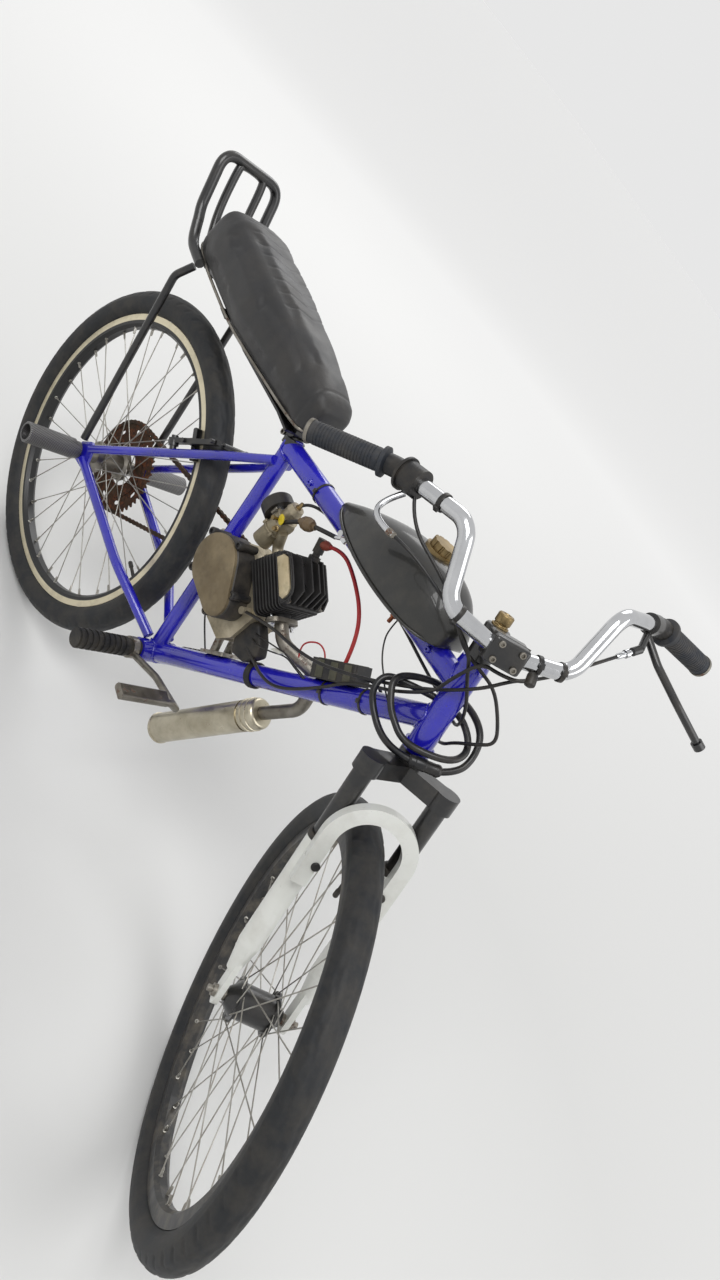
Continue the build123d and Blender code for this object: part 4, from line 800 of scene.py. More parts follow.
class Workbench:
    """Makes pieces with Blender's modelling tools and finishes them."""

    def __init__(self, finishes: Finishes) -> None:
        """Keep the finishes that pieces are given.

        Args:
            finishes: The bicycle's finishes.
        """
        self.finishes = finishes

    def pick(self, piece: bpy.types.Object) -> None:
        """Select one piece alone and make it the active one."""
        bpy.ops.object.select_all(action="DESELECT")
        piece.select_set(True)
        bpy.context.view_layer.objects.active = piece

    def circle(self, name: str, place: Vector, direction: Vector, radius: float, sides: int,
               fill: str = "NGON") -> bpy.types.Object:
        """Add a flat circle square to a direction.

        Args:
            name: The piece's name.
            place: Its middle, in metres.
            direction: The way it faces.
            radius: Radius in millimetres.
            sides: Number of corners.
            fill: The operator's kind of filling.

        Returns:
            The new object.
        """
        bpy.ops.object.select_all(action="DESELECT")
        bpy.ops.mesh.primitive_circle_add(
            vertices=sides, radius=radius * MM, fill_type=fill, location=place,
            rotation=direction.to_track_quat("Z", "Y").to_euler())
        piece = bpy.context.object
        piece.name = name
        return piece

    def turned(self, name: str, foot: Vector, direction: Vector, profile: Sequence[tuple[float, float]],
               sides: int = 32) -> bpy.types.Object:
        """Turn a solid by extruding and scaling a disc, as on a lathe.

        Args:
            name: The piece's name.
            foot: Where the profile's lengths start, in metres.
            direction: The way the lengths run.
            profile: Pairs of radius and length in millimetres, from the foot on.
            sides: Number of facets round it.

        Returns:
            The new object.
        """
        direction = direction.normalized()
        radius, along = profile[0]
        piece = self.circle(name, foot + direction * along * MM, direction, radius, sides)
        bpy.ops.object.mode_set(mode="EDIT")
        bpy.ops.mesh.select_all(action="SELECT")
        for next_radius, next_along in profile[1:]:
            step = direction * (next_along - along) * MM
            bpy.ops.mesh.extrude_region_move(TRANSFORM_OT_translate={"value": tuple(step)})
            share = next_radius / radius
            bpy.ops.transform.resize(
                value=(share, share, share), center_override=tuple(foot + direction * next_along * MM))
            radius, along = next_radius, next_along
        bpy.ops.object.mode_set(mode="OBJECT")
        return piece

    def plate(self, name: str, outline: Sequence[tuple[float, float]], origin: Vector, ahead: Vector,
              normal: Vector, thickness: float) -> bpy.types.Object:
        """Cut a flat plate to an outline and give it its thickness.

        Args:
            name: The piece's name.
            outline: Corners in millimetres, the first number along `ahead`.
            origin: Where the outline's numbers start, in metres.
            ahead: The outline's first direction.
            normal: The way the plate grows.
            thickness: Millimetres.

        Returns:
            The new object.
        """
        upward = normal.cross(ahead).normalized()
        piece = self.circle(name, Vector(), Vector((0.0, 0.0, 1.0)), 1.0, len(outline))
        self.apply_place(piece)
        for vertex, (x, y) in zip(piece.data.vertices, outline):
            vertex.co = origin + (ahead * x + upward * y) * MM
        bpy.ops.object.mode_set(mode="EDIT")
        bpy.ops.mesh.select_all(action="SELECT")
        bpy.ops.mesh.extrude_region_move(
            TRANSFORM_OT_translate={"value": tuple(normal * thickness * MM)})
        bpy.ops.object.mode_set(mode="OBJECT")
        return piece

    def block(self, name: str, centre: Vector, axes: Sequence[Vector], halves: Triple) -> bpy.types.Object:
        """Add a box along three directions, to be bevelled or cut further.

        Args:
            name: The piece's name.
            centre: Its middle, in metres.
            axes: Three unit directions.
            halves: Half sizes along them in millimetres.

        Returns:
            The new object.
        """
        bpy.ops.object.select_all(action="DESELECT")
        bpy.ops.mesh.primitive_cube_add(size=2.0)
        piece = bpy.context.object
        piece.name = name
        for vertex in piece.data.vertices:
            vertex.co = centre + sum(
                (axis * part * half * MM for axis, part, half in zip(axes, vertex.co, halves)), Vector())
        return piece

    def band(self, name: str, centre: Vector, axis: Vector, radius: float, width: float,
             thickness: float) -> bpy.types.Object:
        """Make a ring of strap or sheet round an axis.

        Args:
            name: The piece's name.
            centre: Its middle, in metres.
            axis: The axis that it goes round.
            radius: Inner radius in millimetres.
            width: Width along the axis.
            thickness: Millimetres of material.

        Returns:
            The new object.
        """
        axis = axis.normalized()
        piece = self.circle(
            name, centre - axis * width / 2 * MM, axis, radius + thickness / 2, BAND_SIDES, "NOTHING")
        bpy.ops.object.mode_set(mode="EDIT")
        bpy.ops.mesh.select_all(action="SELECT")
        bpy.ops.mesh.extrude_region_move(TRANSFORM_OT_translate={"value": tuple(axis * width * MM)})
        bpy.ops.object.mode_set(mode="OBJECT")
        shell = piece.modifiers.new("thickness", "SOLIDIFY")
        shell.thickness = thickness * MM
        shell.offset = 0.0
        bpy.ops.object.modifier_apply(modifier=shell.name)
        return piece

    def curve(self, name: str, places: Sequence[Vector], closed: bool = False,
              beads: float = 0.0) -> bpy.types.Object:
        """Lay a smooth curve over control points, not yet in the scene.

        Args:
            name: The curve's name.
            places: Control points, in metres.
            closed: Whether its ends meet.
            beads: How much thinner every other point is, as a share, as on a weld.

        Returns:
            The curve's object.
        """
        curve = bpy.data.curves.new(name, "CURVE")
        curve.dimensions = "3D"
        spline = curve.splines.new("NURBS")
        spline.points.add(len(places) - 1)
        for index, (point, place) in enumerate(zip(spline.points, places)):
            point.co = (*place, 1.0)
            point.radius = 1.0 - beads * (index % 2)
        spline.order_u = 3
        spline.use_endpoint_u = not closed
        spline.use_cyclic_u = closed
        return bpy.data.objects.new(name, curve)

    def cord(self, name: str, places: Sequence[Vector], radius: float, closed: bool = False,
             beads: float = 0.0, resolution: int = 8) -> bpy.types.Object:
        """Run a round cord along a smooth curve with those control points.

        Args:
            name: The piece's name.
            places: Control points, in metres.
            radius: Radius in millimetres.
            closed: Whether its ends meet.
            beads: How much thinner every other point is, as a share, as on a weld.
            resolution: Steps between control points.

        Returns:
            The cord as a mesh object.
        """
        piece = self.curve(name, places, closed, beads)
        piece.data.splines[0].resolution_u = resolution
        piece.data.bevel_depth = radius * MM
        piece.data.bevel_resolution = CORD_STEPS
        piece.data.use_fill_caps = not closed
        bpy.context.collection.objects.link(piece)
        self.pick(piece)
        bpy.ops.object.convert(target="MESH")
        return bpy.context.object

    def path(self, places: Sequence[Vector]) -> list[Vector]:
        """The points of the smooth curve with those control points.

        Args:
            places: Control points, in metres.

        Returns:
            The curve's points from end to end.
        """
        route = self.curve("path", places)
        mesh = bpy.data.meshes.new_from_object(route)
        points = [vertex.co.copy() for vertex in mesh.vertices]
        curve = route.data
        bpy.data.meshes.remove(mesh)
        bpy.data.objects.remove(route)
        bpy.data.curves.remove(curve)
        return points

    def loft(self, name: str, rings: Sequence[Sequence[Vector]]) -> bpy.types.Object:
        """Stretch a closed skin over rings of equal length.

        Args:
            name: The piece's name.
            rings: Rings of places in metres, from one end to the other.

        Returns:
            The new object.
        """
        count = len(rings[0])
        faces = [tuple(range(count))[::-1], tuple((len(rings) - 1) * count + i for i in range(count))]
        for r in range(len(rings) - 1):
            for i in range(count):
                j = (i + 1) % count
                faces.append((r * count + i, r * count + j, (r + 1) * count + j, (r + 1) * count + i))
        mesh = bpy.data.meshes.new(name)
        mesh.from_pydata([tuple(place) for ring in rings for place in ring], [], faces)
        piece = bpy.data.objects.new(name, mesh)
        bpy.context.collection.objects.link(piece)
        self.pick(piece)
        return piece

    def apply_place(self, piece: bpy.types.Object) -> None:
        """Put a piece's place and turn into its mesh."""
        self.pick(piece)
        bpy.ops.object.transform_apply(location=True, rotation=True, scale=True)

    def joined(self, name: str, pieces: Sequence[bpy.types.Object]) -> bpy.types.Object:
        """Join pieces of one finish into one object."""
        bpy.ops.object.select_all(action="DESELECT")
        for piece in pieces:
            piece.select_set(True)
        bpy.context.view_layer.objects.active = pieces[0]
        if len(pieces) > 1:
            bpy.ops.object.join()
        pieces[0].name = name
        return pieces[0]

    def soften(self, piece: bpy.types.Object, width: float, segments: int = 2) -> None:
        """Bevel a piece's sharp edges.

        Args:
            piece: The piece.
            width: Width of the bevel in millimetres.
            segments: Steps across it.
        """
        self.apply_place(piece)
        edges = piece.modifiers.new("edges", "BEVEL")
        edges.width = width * MM
        edges.segments = segments
        edges.limit_method = "ANGLE"
        edges.angle_limit = math.radians(SHARP_ANGLE)
        bpy.ops.object.modifier_apply(modifier=edges.name)

    def finish(self, piece: bpy.types.Object, finish: str, body: str = "root", bevel: float = 0.0,
               angle: float = 35.0, replaces: Sequence[str] = ()) -> bpy.types.Object:
        """Close, smooth and colour a piece, and let it ride on its body.

        Args:
            piece: The piece.
            finish: The finish's name.
            body: The body that it rides on, or an empty string for none.
            bevel: Bevel of its sharp edges in millimetres.
            angle: Edges flatter than this are smoothed.
            replaces: Nodes that it stands for.

        Returns:
            The piece.
        """
        self.apply_place(piece)
        if bevel:
            self.soften(piece, bevel)
        bpy.ops.object.mode_set(mode="EDIT")
        bpy.ops.mesh.select_all(action="SELECT")
        bpy.ops.mesh.remove_doubles(threshold=MERGE_DISTANCE)
        bpy.ops.mesh.normals_make_consistent(inside=False)
        bpy.ops.object.mode_set(mode="OBJECT")
        bpy.ops.object.shade_smooth_by_angle(angle=math.radians(angle))
        piece.data.materials.clear()
        piece.data.materials.append(self.finishes[finish])
        if replaces:
            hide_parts(*replaces)
        if body:
            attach(piece, body)
        log.info("piece %s rides on %s in %s", piece.name, body, finish)
        return piece


@dataclass
class SeatDress:
    """The long padded seat: a crowned cover over foam, with sewn ribs, a nose seam and a base rim."""

    bench: Workbench
    sections: tuple[tuple[float, float, float, float], ...] = (
        # ahead of the rear axle, half width, foot and top above the axle
        (-153.0, 58.0, 409.0, 486.0),
        (-139.0, 66.0, 401.0, 502.0),
        (-100.0, 70.0, 397.0, 510.5),
        (-20.0, 71.0, 397.0, 512.5),
        (60.0, 70.5, 398.0, 513.0),
        (170.0, 60.5, 411.0, 512.0),
        (250.0, 49.5, 419.0, 508.0),
        (292.0, 43.0, 425.0, 502.0),
        (308.0, 37.0, 431.0, 493.0),
    )
    ring_points: int = 64
    shrink: float = 1.5
    squareness: float = 5.4
    voxel: float = 5.0
    swell: float = 4.0
    ribs: tuple[float, ...] = (-118.0, -88.0, -58.0, -28.0, 2.0, 32.0, 62.0, 92.0, 122.0)
    rib_lean: float = 0.42
    rib_half_width: float = 50.0
    groove_depth: float = 1.1
    groove_width: float = 2.6
    nose_seam: float = 284.0
    nose_seam_lean: float = -0.15

    def build(self) -> None:
        """Make the padded cover and the rim of its base."""
        cover = self.make_cover()
        self.inflate(cover)
        self.bench.pick(cover)
        finer = cover.modifiers.new("finer", "SUBSURF")
        finer.levels = finer.render_levels = 1
        bpy.ops.object.modifier_apply(modifier=finer.name)
        self.sew(cover)
        self.bench.finish(cover, "seat_vinyl", angle=60.0, replaces=("seat",))
        self.make_rim()

    def ring(self, ahead: float, half: float, foot: float, top: float, share: float) -> list[Vector]:
        """One ring of the cover, rounded at its corners and crowned on top.

        Args:
            ahead: Place along the seat.
            half: Half width.
            foot: Height of the underside.
            top: Height of the top.
            share: Size of the ring as a share, less than 1 near the ends.

        Returns:
            The ring's places in metres.
        """
        middle = (foot + top) / 2
        half_height = (top - foot) / 2 - self.shrink
        half_width = half - self.shrink
        power = 2.0 / self.squareness
        places = []
        for index in range(self.ring_points):
            angle = 2 * math.pi * index / self.ring_points
            side = math.copysign(abs(math.cos(angle)) ** power, math.cos(angle))
            rise = math.copysign(abs(math.sin(angle)) ** power, math.sin(angle))
            taper = 1.0 - 0.02 * (rise + 1) / 2
            crown = 3.0 * max(rise, 0.0) * (1 - side * side)
            places.append(at(ahead, side * half_width * taper * share,
                             middle + (rise * half_height + crown - 1.5) * share))
        return places

    def make_cover(self) -> bpy.types.Object:
        """Loft the cover through its sections and close its rounded ends."""
        rings = []
        for (x1, w1, f1, t1), (x2, w2, f2, t2) in zip(self.sections, self.sections[1:]):
            steps = max(1, round((x2 - x1) / 12))
            for step in range(steps):
                k = step / steps
                rings.append(self.ring(x1 + (x2 - x1) * k, w1 + (w2 - w1) * k, f1 + (f2 - f1) * k,
                                       t1 + (t2 - t1) * k, 1.0))
        first, last = self.sections[0], self.sections[-1]
        rings.append(self.ring(last[0] - 1, *last[1:], 0.98))
        rings.append(self.ring(last[0] + 3, *last[1:], 0.8))
        rings.append(self.ring(last[0] + 4, *last[1:], 0.4))
        rings.insert(0, self.ring(first[0] - 2, *first[1:], 0.8))
        rings.insert(0, self.ring(first[0] - 3, *first[1:], 0.4))
        cover = self.bench.loft("seat_cover", rings)
        skin = cover.modifiers.new("skin", "REMESH")
        skin.mode = "VOXEL"
        skin.voxel_size = self.voxel * MM
        bpy.ops.object.modifier_apply(modifier=skin.name)
        return cover

    def inflate(self, cover: bpy.types.Object) -> None:
        """Swell the cover with a short cloth simulation and cap how far it moves.

        Args:
            cover: The remeshed cover.
        """
        before = [vertex.co.copy() for vertex in cover.data.vertices]
        cloth = cover.modifiers.new("foam", "CLOTH")
        cloth.settings.use_pressure = True
        cloth.settings.uniform_pressure_force = 4.0
        cloth.settings.effector_weights.gravity = 0.0
        cloth.settings.quality = 5
        scene = bpy.context.scene
        for frame in range(1, 21):
            scene.frame_set(frame)
        self.bench.pick(cover)
        bpy.ops.object.modifier_apply(modifier=cloth.name)
        limit = self.swell * MM
        for vertex, place in zip(cover.data.vertices, before):
            move = vertex.co - place
            if move.length > limit:
                vertex.co = place + move * (limit / move.length)
        scene.frame_set(1)
        log.info("seat cover swelled by its simulation")

    def groove(self, distance: float) -> float:
        """Depth in millimetres of a sewn groove at a distance from its line."""
        return self.groove_depth * math.exp(-((distance / self.groove_width) ** 2))

    def sew(self, cover: bpy.types.Object) -> None:
        """Press the ribs' grooves and the nose seam into the cover.

        Args:
            cover: The swelled and subdivided cover.
        """
        moves = []
        for vertex in cover.data.vertices:
            place = (vertex.co - AXLE) / MM
            side = abs(place.y)
            depth = 0.0
            if vertex.normal.z > 0.2:
                fade = min(1.0, max(0.0, (self.rib_half_width - side) / 8.0))
                for line in self.ribs:
                    depth += fade * self.groove(place.x - line + side * self.rib_lean)
            lean = self.nose_seam + (place.z - 460.0) * self.nose_seam_lean
            if vertex.normal.z > -0.6:
                depth += 0.8 * self.groove((place.x - lean) * 1.2)
            moves.append(vertex.normal * depth * MM)
        for vertex, move in zip(cover.data.vertices, moves):
            vertex.co -= move

    def make_rim(self) -> None:
        """Run the base pan's rolled rim round the underside of the cover."""
        places = []
        for sign, sections in ((1, self.sections), (-1, self.sections[::-1])):
            for ahead, half, foot, _ in sections:
                places.append(at(ahead, sign * half * 0.86, foot + 5.5))
        rim = self.bench.cord("seat_base_rim", places, 2.6, closed=True)
        self.bench.finish(rim, "bare_steel")


@dataclass
class TyreDress:
    """A slick town tyre with wavy grooves, shoulder sipes and a moulded sidewall rib."""

    bench: Workbench
    tyre_radius: float = 333.0
    section: float = 25.0
    steps: int = 600
    section_points: int = 48
    bead_gap: float = 286.2
    groove_depth: float = 1.5
    wave_pitch: float = 66.0

    def build(self, name: str, node: str, centre: Vector, axis: Vector, body: str) -> None:
        """Spin one tyre round its axle and cut its tread.

        Args:
            name: The piece's name.
            node: The tyre node that it stands for.
            centre: The axle's middle, in metres.
            axis: The axle's direction.
            body: The wheel's body.
        """
        outward = across(axis)[0]
        middle = centre + outward * (self.tyre_radius - self.section) * MM
        tyre = self.bench.circle(name, middle, outward.cross(axis), self.section, self.section_points,
                                 "NOTHING")
        self.bench.apply_place(tyre)
        bpy.ops.object.mode_set(mode="EDIT")
        bpy.ops.mesh.select_all(action="SELECT")
        bpy.ops.mesh.spin(steps=self.steps, angle=2 * math.pi, center=tuple(centre), axis=tuple(axis),
                          dupli=False)
        bpy.ops.mesh.remove_doubles(threshold=0.00001)
        bpy.ops.object.mode_set(mode="OBJECT")
        side = axis.cross(outward)
        for vertex in tyre.data.vertices:
            vertex.co = self.shaped(vertex.co, centre, axis.normalized(), outward, side)
        self.bench.finish(tyre, "tyre_rubber", body, angle=50.0, replaces=(node,))

    def shaped(self, place: Vector, centre: Vector, axis: Vector, outward: Vector, side: Vector) -> Vector:
        """The place of one point of the tyre once its tread and bead are formed.

        Args:
            place: The point on the plain ring.
            centre: The axle's middle.
            axis: The axle's direction.
            outward: A direction from which turns are counted.
            side: The direction a quarter turn on.

        Returns:
            The point's new place.
        """
        arm = place - centre
        off = arm.dot(axis)
        radial = arm - axis * off
        reach = radial.length / MM
        lean = math.degrees(math.atan2(off / MM, reach - (self.tyre_radius - self.section)))
        travel = math.atan2(radial.dot(side), radial.dot(outward)) * self.tyre_radius
        direction = radial.normalized()
        ring_middle = centre + direction * (self.tyre_radius - self.section) * MM
        normal = (place - ring_middle).normalized()
        pitch = 2 * math.pi * self.tyre_radius / round(2 * math.pi * self.tyre_radius / self.wave_pitch)
        depth = 0.0
        if abs(lean) < 66.0:
            phase = 2 * math.pi * travel / pitch
            for centre_lean, swing, shift in ((0.0, 7.0, 0.0), (30.0, 6.0, 1.2), (-30.0, 6.0, 4.0)):
                wave = centre_lean + swing * math.sin(phase + shift)
                depth += math.exp(-(((lean - wave) / 4.2) ** 2))
            bite = (travel / pitch * 2 + 0.012 * abs(lean) + (0.5 if lean > 0 else 0.0)) % 1.0
            if abs(lean) > 40.0:
                depth += math.exp(-(((bite - 0.5) * pitch / 2 / 2.6) ** 2))
            depth = min(depth, 1.0) * self.groove_depth
        rib = (0.8 * math.exp(-(((abs(lean) - 74.0) / 3.5) ** 2))
               + 0.6 * math.exp(-(((abs(lean) - 118.0) / 4.0) ** 2)))
        moved = place + normal * (rib - depth) * MM
        arm = moved - centre
        off = arm.dot(axis)
        radial = arm - axis * off
        if radial.length < self.bead_gap * MM:
            return centre + axis * off + radial.normalized() * self.bead_gap * MM
        return moved


@dataclass
class WheelTrim:
    """Spoke nipples, a valve and its cap on one wheel."""

    bench: Workbench
    rim_inner: float = 262.7
    spokes: int = 36
    flange_side: float = 28.0
    spoke_cross: float = 60.0

    def build(self, name: str, centre: Vector, first: Vector, axis: Vector, hole_radius: float,
              body: str) -> None:
        """Make one wheel's nipples and valve.

        Args:
            name: The wheel's name, which begins each piece's name.
            centre: The axle's middle.
            first: The direction of the first spoke's end at the rim.
            axis: The axle's direction.
            hole_radius: Radius of the holes in the hub's flanges.
            body: The wheel's body.
        """
        second = axis.cross(first)
        nipples = []
        for index in range(self.spokes):
            flange = 1 if index % 2 else -1
            lead = 1 if index % 4 < 2 else -1
            turn = math.radians(index * 360 / self.spokes)
            hub_turn = turn + lead * math.radians(self.spoke_cross)
            hub_place = centre + (first * math.cos(hub_turn) + second * math.sin(hub_turn)) * hole_radius * MM
            hub_place += axis * flange * self.flange_side * MM
            rim_place = centre + (first * math.cos(turn) + second * math.sin(turn)) * self.rim_inner * MM
            rim_place += axis * flange * NIPPLE_SIDE * MM
            nipples.append(self.bench.turned(
                f"{name}_nipple", rim_place, hub_place - rim_place,
                ((3.4, -1.0), (3.4, 0.6), (2.1, 1.6), (2.0, 10.0), (1.3, 12.5)), 8))
        self.bench.finish(self.bench.joined(f"{name}_nipples", nipples), "spoke_steel", body)
        turn = math.radians(VALVE_TURN)
        valve_direction = -(first * math.cos(turn) + second * math.sin(turn))
        foot = centre - valve_direction * self.rim_inner * MM
        stem = self.bench.turned(f"{name}_valve", foot, valve_direction, (
            (5.0, -2.0), (5.0, 1.5), (3.4, 2.5), (3.2, 14.0), (3.0, 24.0), (2.4, 24.5), (2.4, 27.0)), 16)
        self.bench.finish(stem, "soft_rubber", body)
        cap = self.bench.turned(f"{name}_valve_cap", foot, valve_direction, (
            (3.9, 23.0), (4.2, 24.0), (4.2, 33.0), (3.2, 35.0)), 12)
        self.bench.finish(cap, "black_plastic", body, bevel=0.4)


@dataclass
class StemDress:
    """The block stem that clamps the bar, its bolts and the knurled top nut of the headset."""

    bench: Workbench
    steering: SteeringFrame
    along: float = 634.0
    reach: float = 66.0
    block_halves: Triple = (19.0, 26.0, 18.5)

    def build(self) -> None:
        """Make the block, the clamp, the knob, the bolts and the seam."""
        frame = self.steering
        axes = (frame.forward, frame.left, frame.up)
        block = self.bench.block("stem_clamp", frame.place(self.reach, 0, self.along), axes,
                                 self.block_halves)
        self.bench.soften(block, 5.0, 3)
        bpy.ops.object.mode_set(mode="EDIT")
        bpy.ops.mesh.select_all(action="DESELECT")
        bpy.ops.object.mode_set(mode="OBJECT")
        back = max(block.data.polygons, key=lambda face: face.normal.dot(-frame.forward) * face.area)
        back.select = True
        bpy.ops.object.mode_set(mode="EDIT")
        target = frame.place(13, 0, self.along - 4)
        for share, width in ((0.45, 0.86), (0.55, 0.94)):
            place = back.center.lerp(target, share)
            bpy.ops.mesh.extrude_region_move(
                TRANSFORM_OT_translate={"value": tuple(-frame.forward * 14 * MM)})
            bpy.ops.transform.resize(value=(width, width, width), center_override=tuple(place))
        bpy.ops.object.mode_set(mode="OBJECT")
        self.bench.finish(block, "black_paint", "steering", bevel=1.0, replaces=("stem", "control_box"))
        clamp = self.bench.turned("steerer_clamp", frame.place(0, 0, 592), frame.up, (
            (15.2, 0.0), (18.0, 2.0), (18.5, 30.0), (18.5, 50.0), (17.0, 53.0), (14.0, 53.5)), 40)
        self.bench.finish(clamp, "black_paint", "steering", bevel=0.8)
        knob = self.bench.turned("headset_knob", frame.place(0, 0, 645), frame.up, (
            (12.5, 0.0), (12.5, 3.0), (10.0, 3.4), (10.0, 6.0), (11.5, 6.5), (11.5, 18.0), (10.0, 19.5),
            (5.0, 19.8), (4.4, 17.0)), 24)
        self.bench.finish(knob, "brass", "steering", bevel=0.6)
        bolts = [self.bolt(frame.place(self.reach + 18.5, side, self.along + rise), frame.forward)
                 for side in (-15, 15) for rise in (-11, 11)]
        bolts.append(self.bolt(frame.place(2, 0, 612), -frame.forward, 17.0))
        self.bench.finish(self.bench.joined("stem_bolts", bolts), "bare_steel", "steering")
        seam = self.bench.block("stem_seam", frame.place(self.reach + 3, 0, self.along), axes,
                                (0.5, 26.4, 18.9))
        self.bench.finish(seam, "black_plastic", "steering", bevel=0.2)

    def bolt(self, place: Vector, direction: Vector, start: float = 0.0) -> bpy.types.Object:
        """A socket screw's head that stands on a face."""
        return self.bench.turned("stem_bolt", place, direction, (
            (4.4, start - 3.0), (4.4, start + 3.2), (3.9, start + 3.8), (2.4, start + 3.9),
            (2.2, start + 1.0)), 20)


@dataclass
class CableDress:
    """The control cables, which cross the steering, and the cords fixed to the frame."""

    bench: Workbench
    steering: SteeringFrame
    cable_radius: float = 2.5
    bend_from: float = 545.0
    bend_to: float = 625.0
    throttle_bend: tuple[Triple, Triple] = ((745.0, 0.0, -64.0), (745.0, 0.0, 22.0))

    def build(self) -> None:
        """Make every cable, hose and lead."""
        for name, places in CONTROL_CABLES.items():
            cable = self.bench.cord(name, [row(*place) for place in places], self.cable_radius)
            self.bench.finish(cable, "cable_black", "", angle=60.0, replaces=("bar_cables", "frame_cables"))
            start, end = self.steering.place(0, 0, self.bend_from), self.steering.place(0, 0, self.bend_to)
            if name == "throttle_cable":
                # Its run under the top tube lies as far up the axis as the bend, so its bend range is given
                # by height.
                start, end = (row(*place) for place in self.throttle_bend)
            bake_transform(cable)
        lock = self.bench.cord("lock_cable", [by_head(*place) for place in LOCK_PLACES], 5.0)
        self.bench.finish(lock, "lock_black", angle=60.0, replaces=("cable_lock",))
        start, end = by_head(*LOCK_PLACES[-1]), by_head(*LOCK_PLACES[0])
        length = (end - start).length / MM
        barrel = self.bench.turned("lock_barrel", start, end - start, (
            (6.0, -4.0), (8.0, -1.0), (8.0, 5.0), (9.0, 6.0), (9.0, length / 2), (8.4, length / 2 + 1),
            (8.4, length - 6), (9.0, length - 5), (9.0, length - 1), (6.0, length + 3)), 28)
        self.bench.finish(barrel, "lock_black", bevel=0.5)
        path = self.bench.path([by_head(*place) for place in LOCK_PLACES])
        hose = self.bench.cord("fuel_line", HOSE_PLACES, 3.6)
        self.bench.finish(hose, "cable_black", angle=60.0, replaces=("fuel_hose",))
        lead = self.bench.cord("spark_lead", LEAD_PLACES, 3.2)
        self.bench.finish(lead, "lead_red", angle=60.0, replaces=("ignition_lead",))


